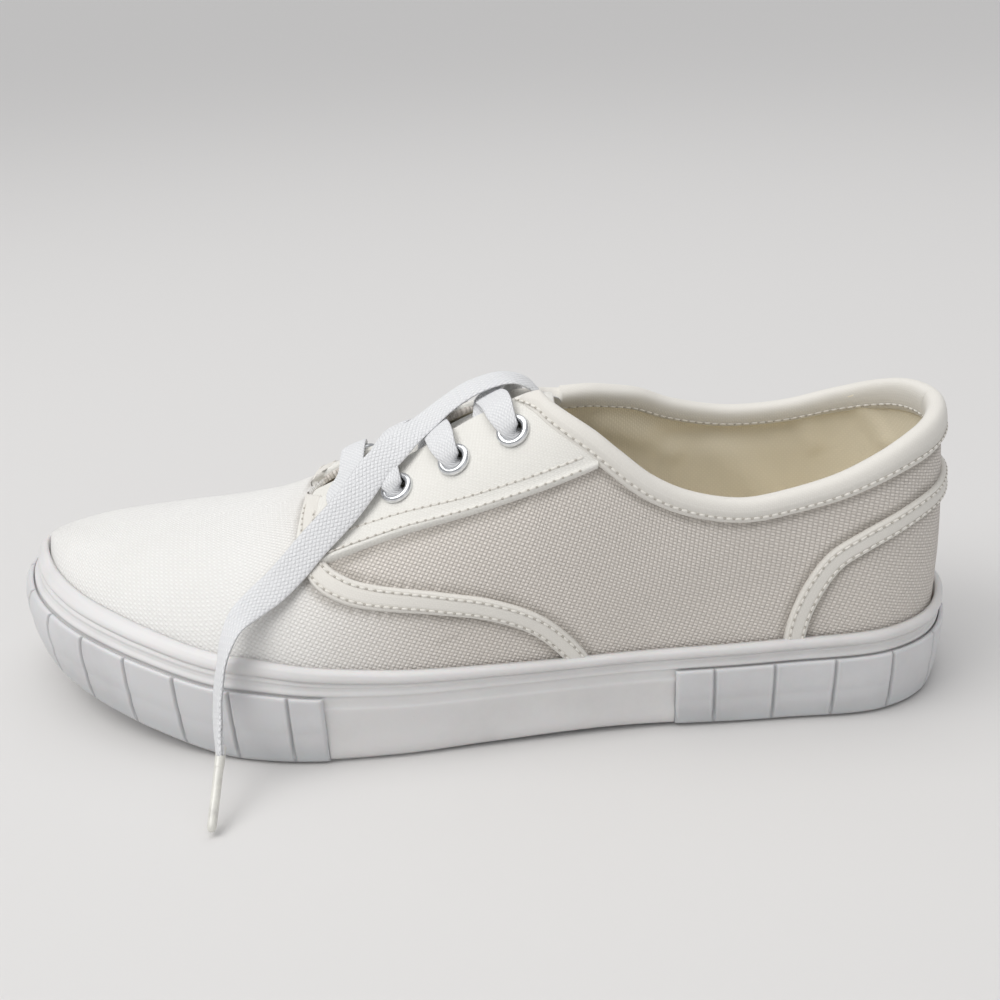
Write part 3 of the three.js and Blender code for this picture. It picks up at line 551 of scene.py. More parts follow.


# Woven cloth on the piece's own cloth coordinates: yarns per millimetre, turn of the weave. The weave's
# gaps are darkened toward the shade colour, a painted shade between the yarns. A look with a vamp colour
# is paler by the vamp's mark, a painted light on the front, and smoother there by the vamp's own cloth;
# it is darker by the seam's mark, a painted shade along the seams that also holds a few real smudges.
def clothMaterial(name, look):
    material, tree, shader = newMaterial(name, {"Roughness": 0.9, "Sheen Weight": 0.15})
    place = addNode(tree, "UVMap", uv_map="cloth").outputs[0]
    turned = addNode(tree, "Mapping", {
        "Vector": place, "Rotation": (0, 0, math.radians(look["turn"])),
        "Scale": (look["stretch"], 1, 1)}).outputs[0]
    height, gap = woven(tree, turned, look["yarns"])
    color = look["color"]
    if "vamp" in look:
        share = readMark(tree, "vamp")
        rest = math2(tree, "SUBTRACT", 1, share)
        height, gap = (plus(tree, times(tree, value, rest), times(tree, times(tree, value, kept), share))
                       for value, kept in ((height, 0.5), (gap, 0.3)))
        color = mixed(tree, share, color, look["vamp"])
    color = mixed(tree, times(tree, gap, look["gap"]), color, look["shade"])
    soil = dirtMask(tree, look["soilScale"], 0.5, 0.85)
    color = mixed(tree, times(tree, soil, look["soil"]), color, look["shade"])
    if "seam" in look:
        color = mixed(tree, times(tree, readMark(tree, "seam"), 0.65), color, look["seam"])
    plug(tree, shader.inputs["Base Color"], color)
    bumped(tree, shader, height, look["bump"], look["relief"] * mm)
    return material


# Rubber with soft soil, faint speckle and a slight waviness, darker by the painted shade's mark: painted
# shade in the band's grooves and toward its bottom
def rubberMaterial(name, look):
    material, tree, shader = newMaterial(name, {
        "Roughness": look["roughness"], "Specular IOR Level": 0.45, "Coat Weight": 0.12,
        "Coat Roughness": 0.3, "Subsurface Weight": 0.08, "Subsurface Scale": 0.002})
    color = look["color"]
    for mask, amount in ((dirtMask(tree, 38, 0.45, 0.75), look["soil"]),
                         (dirtMask(tree, 900, 0.62, 0.8), 0.1)):
        color = mixed(tree, times(tree, mask, amount), color, look["shade"])
    if "paintedShade" in look:
        color = mixed(tree, times(tree, readMark(tree, "paintedShade"), 0.75), color, look["paintedShade"])
    plug(tree, shader.inputs["Base Color"], color)
    bumped(tree, shader, dirtMask(tree, 120, 0.2, 0.8), 0.25, 0.25 * mm)
    return material


# Hard finish in two tones, hazed into each other
def hazyMaterial(name, inputs, haze, pale, dull):
    material, tree, shader = newMaterial(name, inputs)
    plug(tree, shader.inputs["Base Color"], mixed(tree, dirtMask(tree, *haze), pale, dull))
    return material


# Tread: fine zigzag ribs on the sole's own plan, with painted shade in the grooves between them
def treadMaterial():
    material, tree, shader = newMaterial("tread", {"Roughness": 0.55})
    split = addNode(tree, "SeparateXYZ", {0: addNode(tree, "UVMap", uv_map="cloth").outputs[0]}).outputs
    zigzag = math2(tree, "PINGPONG", split[1], 4)
    ribs = math2(tree, "SINE", times(tree, plus(tree, split[0], zigzag), 2 * math.pi / 4.2))
    flat = math2(tree, "MINIMUM", plus(tree, ribs, 1), 1)
    plug(tree, shader.inputs["Base Color"], mixed(tree, flat, (0.55, 0.55, 0.56), (0.78, 0.785, 0.8)))
    bumped(tree, shader, flat, 1, 0.9 * mm)
    return material


# The insole's mesh stays as modelled, so its weave is read from the object's own place
def insoleMaterial():
    material, tree, shader = newMaterial("insole", {"Roughness": 0.9, "Sheen Weight": 0.2})
    height, gap = woven(tree, addNode(tree, "TexCoord").outputs["Object"], 1300)
    # Darker in the weave's gaps: painted shade between the yarns
    color = mixed(tree, times(tree, gap, 0.4), (0.8, 0.75, 0.63), (0.6, 0.55, 0.44))
    color = mixed(tree, times(tree, dirtMask(tree, 20, 0.45, 0.8), 0.35), color, (0.55, 0.5, 0.4))
    plug(tree, shader.inputs["Base Color"], color)
    bumped(tree, shader, height, 0.5, 0.2 * mm)
    return material


# vamp: painted light on the front's canvas; seam: painted shade along the seams, also the smudges' colour
canvasCloth = clothMaterial("canvas", {
    "color": (0.86, 0.81, 0.755), "shade": (0.46, 0.41, 0.355), "vamp": (0.91, 0.905, 0.885),
    "seam": (0.33, 0.3, 0.26), "yarns": 1.08, "turn": 24, "stretch": 0.8, "gap": 0.8, "soil": 0.1,
    "soilScale": 22, "bump": 0.9, "relief": 0.55})
stayCloth = clothMaterial("facing", {
    "color": (0.86, 0.845, 0.8), "shade": (0.62, 0.6, 0.54), "yarns": 2.1, "turn": 4,
    "stretch": 0.45, "gap": 0.35, "soil": 0.1, "soilScale": 24, "bump": 0.5, "relief": 0.25})
stripCloth = clothMaterial("strip", {
    "color": (0.79, 0.765, 0.715), "shade": (0.58, 0.55, 0.49), "yarns": 1.9, "turn": 0,
    "stretch": 1, "gap": 0.22, "soil": 0.14, "soilScale": 30, "bump": 0.35, "relief": 0.15})
liningCloth = clothMaterial("lining", {
    "color": (0.88, 0.81, 0.65), "shade": (0.68, 0.61, 0.46), "yarns": 1.4, "turn": 0,
    "stretch": 1, "gap": 0.3, "soil": 0.3, "soilScale": 26, "bump": 0.4, "relief": 0.18})
laceCloth = clothMaterial("lace", {
    "color": (0.84, 0.845, 0.855), "shade": (0.52, 0.53, 0.56), "yarns": 1.15, "turn": 45,
    "stretch": 0.7, "gap": 0.32, "soil": 0.05, "soilScale": 40, "bump": 0.8, "relief": 0.35})
soleRubber = rubberMaterial("rubber", {
    "color": (0.74, 0.73, 0.725), "shade": (0.52, 0.51, 0.5), "soil": 0.35, "roughness": 0.42})
# The band's painted-shade colour darkens its grooves and its lower part
bandRubber = rubberMaterial("bandRubber", {
    "color": (0.68, 0.68, 0.69), "shade": (0.48, 0.475, 0.48), "paintedShade": (0.3, 0.3, 0.31),
    "soil": 0.4, "roughness": 0.36})
eyeletMetal = hazyMaterial("eyelet", {"Roughness": 0.18, "Metallic": 1}, (500, 0.4, 0.8),
                           (0.82, 0.83, 0.84), (0.6, 0.61, 0.63))
agletPlastic = hazyMaterial("aglet", {"Roughness": 0.3, "Coat Weight": 0.5}, (300, 0.35, 0.75),
                            (0.78, 0.77, 0.71), (0.6, 0.59, 0.55))
threadCloth = newMaterial("thread", {
    "Roughness": 0.8, "Sheen Weight": 0.2, "Base Color": (0.8, 0.775, 0.72)})[0]
# Colour of the dark cushions at the stitches' holes: painted shadow
holeShade = newMaterial("pinhole_shadow", {"Roughness": 1, "Base Color": (0.5, 0.47, 0.42)})[0]
treadRubber = treadMaterial()
print("materials made")

# Laces

lace = {"width": 9, "thickness": 1.2, "around": 20, "squareness": 0.77, "overOther": 0.35}
eyelet = {"count": 4, "forward": 15.6, "pitch": 16.1, "aside": 20, "fan": 1.5, "radius": 4.8,
          "hole": 2.7, "sleeve": 3.1, "depth": 2.2, "wire": 1.05, "clear": 3.3}
eyeletRows = range(1, eyelet["count"] + 1)


def eyeletX(row):
    return eyelet["forward"] - (row - 1) * eyelet["pitch"]


def eyeletY(row):
    return eyelet["aside"] + eyelet["fan"] * (eyelet["count"] - row) / (eyelet["count"] - 1)


# Point at a height over a place of the top view, and the direction out of the last there
def onUpper(x, y, lift=0.0):
    x, y = np.asarray(x, float), np.asarray(y, float)
    angle = fromTop(x, y)
    return lifted(x, angle, lift), lastNormal(x, angle)


eyeletSeats = [onUpper(eyeletX(row), side * eyeletY(row)) for row in eyeletRows for side in (-1, 1)]


# A flat lace: a lens section, |a|^2.6 + |b|^2.6 = 1, carried along a path with its face to a direction
def ribbon(name, path, face, width, thickness):
    run = unit(np.gradient(path, axis=0))
    across = unit(np.cross(run, face))
    up = np.cross(across, run)
    a, b = squaredCircle(turns(lace["around"]), lace["squareness"])
    width, thickness = (np.broadcast_to(v, len(path))[:, None, None] / 2 for v in (width, thickness))
    rings = (path[:, None] + across[:, None] * a[None, :, None] * width
             + up[:, None] * b[None, :, None] * thickness)
    flat = np.where(b > 0, a, 3 - a) * lace["width"] / 2
    return ringMesh(name, rings, uv=ringUv(path, flat))


# Route of the free end, in metres: from under the inner facing over the crossings, down the toe's
# outer side and over the sole
tucked = [onUpper(x, y, -3.0)[0] * mm for x, y in ((23.5, 18.5), (23, 14))]
laceRoute = np.array([
    *tucked, (0.020, 0.009, 0.086), (0.013, 0.005, 0.090), (0.004, 0.0015, 0.0889),
    (-0.004, -0.0005, 0.0846), (-0.010, -0.0045, 0.081), (-0.0145, -0.009, 0.079),
    (-0.0185, -0.0135, 0.0764), (-0.023, -0.0175, 0.0732), (-0.027, -0.022, 0.069),
    (-0.031, -0.0255, 0.0648), (-0.035, -0.028, 0.0612), (-0.040, -0.031, 0.0568),
    (-0.045, -0.0345, 0.052), (-0.050, -0.0375, 0.0478), (-0.055, -0.0405, 0.0446),
    (-0.059, -0.0445, 0.042), (-0.0615, -0.049, 0.038), (-0.063, -0.053, 0.032),
    (-0.064, -0.056, 0.025), (-0.064, -0.0595, 0.0185), (-0.063, -0.0645, 0.013)])
# Where the flat of the lace looks at each of those points
laceFacing = np.array([
    (0, 0.4, 1), (0, 0.3, 1), (0.2, -0.2, 1), (-0.2, -0.2, 1), (-0.5, -0.3, 1), (-0.5, -0.35, 0.9),
    (-0.35, -0.4, 0.85), (-0.2, -0.55, 0.8), (-0.1, -0.65, 0.7), (0, -0.7, 0.65), (0, -0.75, 0.6),
    (0, -0.75, 0.55), (0, -0.75, 0.55), (0, -0.75, 0.6), (0, -0.75, 0.6), (-0.1, -0.7, 0.6),
    (-0.2, -0.7, 0.6), (-0.45, -0.75, 0.4), (-0.7, -0.7, 0.2), (-0.85, -0.55, 0), (-0.85, -0.55, 0),
    (-0.8, -0.6, 0), (-0.8, -0.6, 0)])
agletTip = np.array((-63, -80.5, 1.8))
agletRows = np.array([  # along from the lace's end, radius
    (-2.5, 0.2), (-2.45, 1.35), (3, 1.3), (3.05, 1.22), (17.6, 1.22), (18.9, 1.1), (19.4, 0.7),
    (19.5, 0.05)])


def addLaceEnd():
    route = curveThrough(laceRoute / mm, 240)
    face = unit(curveThrough(laceFacing, 240))
    along = np.linspace(0, 1, 240)
    width = np.interp(along, [0, 0.7, 0.8, 0.95, 1], [lace["width"], lace["width"], 7.2, 6, 2.6])
    thickness = np.interp(along, [0, 0.78, 0.95, 1], [lace["thickness"], lace["thickness"], 1.9, 2.3])
    piece = ribbon("lace_end_cloth", route, face, width, thickness)
    finishPiece(piece, laceCloth, ["lace_end"])
    end = laceRoute[-1] / mm
    run = unit(agletTip - end)
    side = unit(np.cross(run, (0, 0, 1)))
    turn = turns(24)[:, None]
    spoke = side * np.cos(turn) + np.cross(run, side) * np.sin(turn)
    rings = (end + run * agletRows[:, :1])[:, None] + agletRows[:, 1, None, None] * spoke[None]
    tip = ringMesh("aglet_tube", rings, smoothAngle=40)
    finishPiece(tip, agletPlastic, ["aglet"])


addLaceEnd()

# One strand: part of a pitch toward the toe, share of the eyelets' distance aside, height over the
# last, width. It comes up through its eyelet, crosses the throat and dives under the other facing.
crossingStops = np.array([
    (0, 1, -5.5, 4.4), (0, 1, -1.5, 4.6), (0.03, 0.99, 2.2, 5.4), (0.1, 0.86, 3.6, 7.2),
    (0.17, 0.7, 3.5, 8.3), (0.26, 0.5, 2.7, 8.5), (0.47, 0, 0.75, 8.5), (0.53, -0.2, -0.6, 8.3),
    (0.57, -0.34, -1.6, 8), (0.6, -0.5, -3.2, 7.5)])


# The lowest row has one straight strand, and its second half mirrors its first
def addCrossings():
    for row in eyeletRows:
        lowest = row == eyelet["count"]
        for side, sideName in sides[:1] if lowest else sides:
            name, stops = f"lace_strand_{row}_{sideName}", crossingStops
            if lowest:
                near = crossingStops[:6] * (0, 1, 1, 1)
                name = "lace_bar_cloth"
                stops = np.vstack([near, [(0, 0, 1.1, 8.5)], near[::-1] * (1, -1, 1, 1)])
            over = lace["overOther"] if side > 0 else 0
            lift = stops[:, 2] + over * (np.abs(stops[:, 1]) < 0.4)
            point, normal = onUpper(eyeletX(row + stops[:, 0]), side * stops[:, 1] * eyeletY(row), lift)
            count = 12 * len(stops)
            width = curveThrough(stops[:, 3:], count)[:, 0]
            thick = np.where(width < 6, 2.2, lace["thickness"])
            thick = np.convolve(np.pad(thick, 6, mode="edge"), np.ones(13) / 13, mode="valid")
            piece = ribbon(name, curveThrough(point, count), unit(curveThrough(normal, count)), width, thick)
            node = "lace_bar" if lowest else f"lace_crossing_{row}"
            finishPiece(piece, laceCloth, [node] if side < 0 else ())


addCrossings()
print("laces made")


# Eyelets: a rolled ring over a sleeve, its section carried round the axis
def addEyelets():
    turn = turns(48)[:, None]
    arc = np.linspace(-0.15 * math.pi, 1.12 * math.pi, 12)
    roll = (eyelet["radius"] + eyelet["hole"]) / 2
    half = (eyelet["radius"] - eyelet["hole"]) / 2
    sleeve = [(eyelet["hole"], 1.2), (eyelet["hole"], -eyelet["depth"]),
              (eyelet["sleeve"], -eyelet["depth"]), (eyelet["sleeve"], 1.2)]
    ring = np.stack([roll + half * np.cos(arc), 1.55 + eyelet["wire"] * np.sin(arc)], -1)
    radius, height = np.vstack([ring, sleeve]).T
    cells = gridFaces(len(turn), len(radius), True, True)
    points, faces = [], []
    for centre, normal in eyeletSeats:
        east = unit(np.cross((0, 1, 0), normal))
        spoke = east * np.cos(turn) + np.cross(normal, east) * np.sin(turn)
        faces.append(cells + len(points) * len(turn) * len(radius))
        points.append(centre + spoke[:, None] * radius[:, None] + normal * height[:, None])
    piece = turnOut(makeMesh("eyelets", np.stack(points), np.concatenate(faces)))
    nodes = [f"eyelet_{name}_{row}" for side, name in sides for row in eyeletRows]
    finishPiece(piece, eyeletMetal, nodes)


addEyelets()

# Upper: one sheet over the last, thickened inward

creases = [  # two ends, width, depth; a negative depth is a ridge
    ((-52, -34, 45), (-30, -24, 56), 5, 0.5), ((-62, -30, 46), (-56, 4, 52), 7, 0.35),
    ((-78, -34, 40), (-70, -6, 49), 8, 0.3), ((60, -40, 36), (88, -36, 44), 7, 0.45),
    ((40, -42, 40), (66, -38, 56), 8, -0.35), ((100, -34, 60), (118, -28, 54), 5, 0.6),
    ((112, -30, 74), (122, -22, 66), 4, 0.5), ((-8, -42, 38), (14, -41, 44), 7, 0.5),
    ((40, 24, 70), (62, 27, 58), 4, 1.6), ((60, 27, 62), (96, 32, 64), 4.5, -1.6),
    ((76, 32, 58), (92, 32, 40), 6, 1.4), ((96, 32, 78), (106, 33, 58), 3.5, 1.8),
    ((112, 26, 80), (124, 18, 62), 3.5, 2), ((-58, 40, 38), (-40, 28, 50), 6, 0.5)]
smudges = [  # two ends, width, strength: a pulled thread under the collar, a hair, two faint scuffs
    ((113.5, -29, 71), (112.5, -31, 66), 0.9, 0.5), ((-7, -43, 33), (-1, -43, 34.5), 0.7, 0.35),
    ((66, -36, 28), (72, -36, 27), 2.2, 0.12), ((-84, -38, 34), (-78, -40, 32), 2.5, 0.1)]


# Sum of soft troughs, depth * exp(-(distance to the crease / width)^2)
def softLines(points, rows):
    total = np.zeros(points.shape[:-1])
    for start, end, width, depth in rows:
        start, run = np.array(start, float), np.subtract(end, start).astype(float)
        t = np.clip((points - start) @ run / (run @ run), 0, 1)
        total += depth * bell(np.linalg.norm(points - start - t[..., None] * run, axis=-1), width)
    return total


# True for a cell's middle that is clear of every eyelet's hole
def pastEyelets(skin):
    middle = (skin[:-1, :-1] + skin[1:, 1:]) / 2
    keep = np.ones(middle.shape[:-1], bool)
    for centre, normal in eyeletSeats:
        off = middle - centre
        along = off @ normal
        aside = np.linalg.norm(off - along[..., None] * normal, axis=-1)
        keep &= (aside > eyelet["clear"]) | (np.abs(along) > 12)
    return keep.reshape(-1)


strip = {"width": 6, "rise": 1.5, "sink": 0.4, "row": 1.75, "around": 19, "under": 9}


# Painted shade at the seams' edges: exp(-(distance in the side view / 1.1)^2) from the nearest sewn edge
def seamShade(points, side):
    width, collar = strip["width"], collarTop[side]
    seams = [(vampLine, 0.6), (vampLine, -width - 0.6), (counterLine, -0.6), (counterLine, width + 0.6),
             (collar, bindingReach(collar[:, 0]) + 0.5)]
    spots = np.concatenate([beside(stayLine, 0.8)[stayLine[:, 0] > -40][::2]]
                           + [beside(line, reach)[::3] for line, reach in seams])
    flat = points[..., [0, 2]].reshape(-1, 2)
    away = np.full(len(flat), 99.0)
    for first in range(0, len(spots), 40):
        gap = flat[:, None] - spots[None, first:first + 40]
        away = np.minimum(away, np.sqrt((gap**2).sum(-1).min(axis=1)))
    return bell(away, 1.1).reshape(points.shape[:-1])


# Every station's section from the sole up to its edge, with rows set close round the throat's end
def addUpper():
    throatEnd = shoe["throatBase"] + np.array([0, 0.15, 0.5, 1, 1.6, 2.4])
    x = np.unique(np.concatenate([stations(270), throatEnd]))
    t = np.linspace(0, 1, 78) ** 1.4
    points, uv, vamp, seam, faces = [], [], [], [], []
    for side in (-1, 1):
        edge = edgeAngle(x, side)
        angle = edge[:, None] * t if side < 0 else math.pi - (math.pi - edge)[:, None] * t
        skin = lastPoint(x[:, None], angle)
        skin = skin - lastNormal(x[:, None], angle) * softLines(skin, creases)[..., None]
        cells = gridFaces(*angle.shape)[pastEyelets(skin)]
        faces.append((cells if side < 0 else cells[:, ::-1]) + len(points) * angle.size)
        points.append(skin)
        uv.append(clothUv(skin))
        # The vamp's mark: the vamp's smoother cloth, with painted light that grows toward the toe
        low = np.interp(skin[..., 0], vampLine[:, 0], vampLine[:, 1]) + 3
        isVamp = (skin[..., 0] < -43) | ((skin[..., 2] < low) & (skin[..., 0] < 33))
        vamp.append(isVamp * ease((8 - skin[..., 0]) / 75))
        # The seam's mark: painted shade along the seams, and the real smudges
        seam.append(np.maximum(seamShade(skin, side) * ease(20 * (1 - t)), softLines(skin, smudges)))
    piece = makeMesh("upper_canvas", np.stack(points), np.concatenate(faces), np.stack(uv),
                     {"vamp": np.stack(vamp), "seam": np.stack(seam)}, merge=0.02, smoothAngle=0)
    finishPiece(piece, canvasCloth, ["upper"])
    piece.data.materials.append(liningCloth)
    wall = piece.modifiers.new("wall", "SOLIDIFY")
    wall.thickness = shoe["wall"] * mm
    wall.offset = -1
    wall.material_offset = 1


addUpper()
print("upper made")

facing = {"start": -45.4, "end": 37, "rise": 1.4, "sink": 0.5, "pipe": 0.5, "pipeAt": 1.3}


# Facings along the throat: height over the upper rises from both edges, with a piped lower edge
def addEyestays():
    throatEnd = shoe["throatBase"] + np.linspace(1, 9, 16)
    x = np.unique(np.concatenate([np.linspace(facing["start"], facing["end"], 174), throatEnd]))
    for side, name in sides:
        top = edgeAngle(x, side)
        _, low = fromSide(x, np.interp(x, stayLine[:, 0], stayLine[:, 1]), side)
        low = np.minimum(low, top - 0.01) if side < 0 else np.maximum(low, top + 0.01)
        angle = low[:, None] + (top - low)[:, None] * np.linspace(0, 1, 70)
        width = clothUv(lastPoint(x[:, None], angle))[..., 1]
        fromTopEdge = width[:, -1:] - width
        rise = facing["rise"] * (1 - bell(width, 0.45)) * (1 - bell(fromTopEdge / 0.7 + 0.6, 1))
        lift = rise - 0.2 + facing["pipe"] * bell(width - facing["pipeAt"], 0.9)
        skin = lifted(x[:, None], angle, lift)
        under = lifted(x[:, None], angle, -facing["sink"])
        piece = plateMesh(f"eyestay_{name}_cloth", skin, under, clothUv(skin), pastEyelets(skin))
        finishPiece(piece, stayCloth, [f"eyestay_{name}"])


addEyestays()

# Sewn strips: a low cushion section with two stitched dents, carried along a line of the side view

stripAcross = np.linspace(-1, 1, strip["around"])
stripUnder = np.linspace(1, -1, strip["under"])[1:-1]
stripRise = (1 - np.abs(stripAcross) ** 5) ** 0.5 * (1 - 0.18 * bell(np.abs(stripAcross) - 0.58, 0.12))


def stripSkin(line, side, lift, across, trim=None):
    run = unit(np.gradient(line, axis=0))
    still = np.clip((lastHeel - line[:, 0]) / 8, 0, 1)
    x = line[:, :1] - run[:, 1:] * across * still[:, None]
    z = line[:, 1:] + run[:, :1] * across
    station, angle = fromSide(np.minimum(x, lastHeel), z, side)
    if trim is not None:
        edge = trim(station.reshape(-1)).reshape(station.shape)
        angle = np.minimum(angle, edge) if side < 0 else np.maximum(angle, edge)
    return lifted(station, angle, lift)


def stripRings(line, side, trim=None):
    half = strip["width"] / 2
    top = stripSkin(line, side, strip["rise"] * stripRise + 0.1, stripAcross * half, trim)
    under = stripSkin(line, side, np.full(len(stripUnder), -strip["sink"]), stripUnder * half, trim)
    return np.concatenate([top, under], axis=1)


def stripPiece(name, rings, nodes):
    flat = np.concatenate([stripAcross, stripUnder]) * strip["width"] / 2
    piece = ringMesh(name, rings, uv=ringUv(rings[:, strip["around"] // 2], flat))
    finishPiece(piece, stripCloth, nodes)


# Middle lines: the vamp's strip stops at the crest and at the tape, the counter's goes round the heel
vampMiddle = beside(vampLine, -strip["width"] / 2)
crestAt = shoe["lastHeight"] * section("crest", vampMiddle[:, 0])
vampMiddle = vampMiddle[(vampMiddle[:, 1] < crestAt + 0.5) & (vampMiddle[:, 1] > 19)]
vampMiddle = curveThrough(vampMiddle[::4], 260)
counterMiddle = beside(counterLine, strip["width"] / 2)
counterSide = counterMiddle[counterMiddle[:, 0] < lastHeel - 6]
backX = stations(60, counterSide[-1, 0] + 0.5)
backZ = np.interp(backX, counterMiddle[:, 0], counterMiddle[:, 1])
counterMiddle = np.vstack([curveThrough(counterSide[::5], 180), np.stack([backX, backZ], -1)])

for side, name in sides:
    rings = stripRings(vampMiddle, side, lambda x, s=side: edgeAngle(x, s))
    stripPiece(f"vamp_strip_{name}_cloth", rings, [f"vamp_strip_{name}"])
counterRings = np.concatenate([stripRings(counterMiddle, -1), stripRings(counterMiddle, 1)[-2::-1]])
stripPiece("counter_strip_cloth", counterRings, ["counter_strip"])
print("strips made")

# Collar binding: a soft roll over the edge, its section's height being the room between the seam
# and the collar line

binding = {"half": 2.9, "square": 2.5, "around": 28, "stitchedAt": 0.5, "dent": 0.1, "tuckEnd": 0.03}


def bindingFrame(x, side):
    high = edgeAngle(x, side, lambda x: 0 * x)
    seam = collarAngle(x, side, bindingReach)
    seam = seam if side < 0 else math.pi - seam
    low = np.minimum(seam, high) if side < 0 else np.maximum(seam, high)
    top, bottom, centre = lastPoint(x, high), lastPoint(x, low), lastPoint(x, (low + high) / 2)
    normal = lastNormal(x, (low + high) / 2)
    tall = np.linalg.norm(top - bottom, axis=-1)
    return centre - normal * 1.0, normal, unit(top - bottom + normal * 1e-4), tall / 2


# Rings: centre + normal * a * half thickness + up * b * half height on a squared circle a, b
def addBinding():
    turn = turns(binding["around"])
    a, b = squaredCircle(turn, 2 / binding["square"])
    puff = 1 - binding["dent"] * bell(b + binding["stitchedAt"], 0.16) * (a > 0)
    parts = []
    for side in (-1, 1):
        x = np.concatenate([np.linspace(11, 60, 110)[:-1], stations(150, 60)])
        centre, normal, up, tall = bindingFrame(x, side)
        keep = tall > 0.4
        keep[-1] = True
        centre, normal, up, tall = (v[keep] for v in (centre, normal, up, tall))
        start = np.linspace(0, 1, len(tall)) / binding["tuckEnd"]
        body = np.minimum(1, np.sqrt(np.clip(start, 0.02, 1)))
        parts.append(centre[:, None]
                     + normal[:, None] * (a * puff)[None, :, None] * (binding["half"] * body)[:, None, None]
                     + up[:, None] * b[None, :, None] * (tall * body)[:, None, None])
    rings = np.concatenate([parts[0], parts[1][-2::-1]])
    piece = ringMesh("collar_binding_cloth", rings, uv=ringUv(rings[:, 0], turn * 3.5))
    finishPiece(piece, stripCloth, ["collar_binding"])


addBinding()
print("binding made")


# Tongue: a rounded plate under the throat that swells up between the facings
def addTongue():
    drop = shoe["wall"] + 1.5 + 2 * shoe["clearance"]
    x = np.linspace(tongueRows[0, 0], tongueRows[-1, 0], 120) * shoe["length"]
    half = tongueHalfWidth * smooth(tongueRows, 1, x / shoe["length"])
    t = np.linspace(-1, 1, 50)
    y = half[:, None] * t
    fromSideEdge = (1 - np.abs(t))[None] * half[:, None] / 1.2
    edge = np.minimum(1, np.minimum(fromSideEdge, (x[-1] - x)[:, None] / 1.2 + 0.15))
    thick = np.sqrt(np.clip(1 - (1 - edge) ** 2, 0, 1))
    station = np.broadcast_to(x[:, None], y.shape)
    front = ease((-36 - station) / 3)
    swell = (2.2 + 0.9 * front) * bell(y, 7 + 2 * front)
    middle = -drop - 1 + swell * ease((station + 49) / 4) * ease((16 - station) / 6)
    top, under = (onUpper(station, y, middle + sign * thick)[0] for sign in (1, -1))
    finishPiece(plateMesh("tongue_cloth", top, under, clothUv(top)), stayCloth, ["tongue"])


addTongue()

# Stitches: a small cushion for each, joined in one mesh for each row

stitch = {"pitch": 2.4, "length": 1.7, "hole": 0.7, "radius": 0.28, "flatness": 1.2, "sides": 6,
          "onStrip": 1.52, "onPipe": 1.72, "onFacing": 1.22}
cushion = np.array([(-1, 0.15), (-0.8, 0.8), (0, 1), (0.8, 0.8), (1, 0.15)])  # along, girth


# Cushions along every row: rings of the cushion's girth, wider than tall, set along the path
def addCushions(name, rows, long, start, material):
    corners = stitch["sides"]
    size = len(cushion) * corners
    girth = cushion[:, 1:] * stitch["radius"]
    wide, tall = girth * np.cos(turns(corners)) * stitch["flatness"], girth * np.sin(turns(corners))
    template = np.stack([np.repeat(cushion[:, 0], corners) * long / 2, wide.ravel(), tall.ravel()], -1)
    cells = gridFaces(len(cushion), corners, closeColumns=True)
    points, faces, count = [], [], 0
    for path, normal in rows:
        length = runLength(path)
        at = np.arange(stitch["pitch"] * start, length[-1], stitch["pitch"])
        up = unit(readAt(at, length, normal))
        along = unit(readAt(at + 0.3, length, path) - readAt(at - 0.3, length, path))
        axes = np.stack([along, np.cross(up, along), up], 1)
        points.append((readAt(at, length, path)[:, None] + template @ axes).reshape(-1, 3))
        faces.append((cells + (count + np.arange(len(at)) * size)[:, None, None]).reshape(-1, 4))
        count += len(at) * size
    first = np.arange(0, count, size)[:, None]
    ends = np.vstack([first + np.arange(corners), first + size - corners + np.arange(corners)])
    every = np.concatenate(faces).tolist() + ends.tolist()
    finishPiece(turnOut(makeMesh(name, np.concatenate(points), every, merge=0)), material)


# Threads of one row, with the pinholes that they dive into half a pitch further made as dark cushions:
# painted shadow of the holes
def addStitches(name, rows):
    addCushions(name, rows, stitch["length"], 0.5, threadCloth)
    addCushions(name + "_hole_shadows", rows, stitch["hole"], 1, holeShade)


# A row on a strip or facing: line of the side view, distance across, height over the last
def rowOn(line, side, across, lift, trim=None):
    path, under = (stripSkin(line, side, np.array([height]), np.array([across]), trim)[:, 0]
                   for height in (lift, lift - 1))
    moving = np.concatenate([[True], np.linalg.norm(np.diff(path, axis=0), axis=1) > 1e-4])
    return path[moving], (path - under)[moving]


def addAllStitches():
    stayRun = stayLine[(stayLine[:, 0] > -38) & (stayLine[:, 0] < 34)]
    pair = lambda line, side, trim=None: [
        rowOn(line, side, way * strip["row"], stitch["onStrip"], trim) for way in (-1, 1)]
    for side, name in sides:
        addStitches(f"vamp_stitches_{name}", pair(vampMiddle[6:], side, lambda x, s=side: edgeAngle(x, s)))
        addStitches(f"facing_stitches_{name}", [rowOn(stayRun, side, 1.3, stitch["onPipe"]),
                                                rowOn(stayRun, side, 4, stitch["onFacing"])])
    addStitches("counter_stitches", pair(counterMiddle, -1) + pair(counterMiddle, 1))
    rows = []
    for side in (-1, 1):
        x = np.concatenate([np.linspace(16, 60, 90)[:-1], stations(120, 60)])
        centre, normal, up, tall = bindingFrame(x, side)
        for face in (1, -1):
            out = normal * face * binding["half"] * 0.93
            rows.append((centre + out - up * (tall * binding["stitchedAt"])[:, None], normal * face))
    addStitches("binding_stitches", rows)


addAllStitches()
print("stitches made")

# Sole: tape, bands and outsole run round the shoe on one set of stations

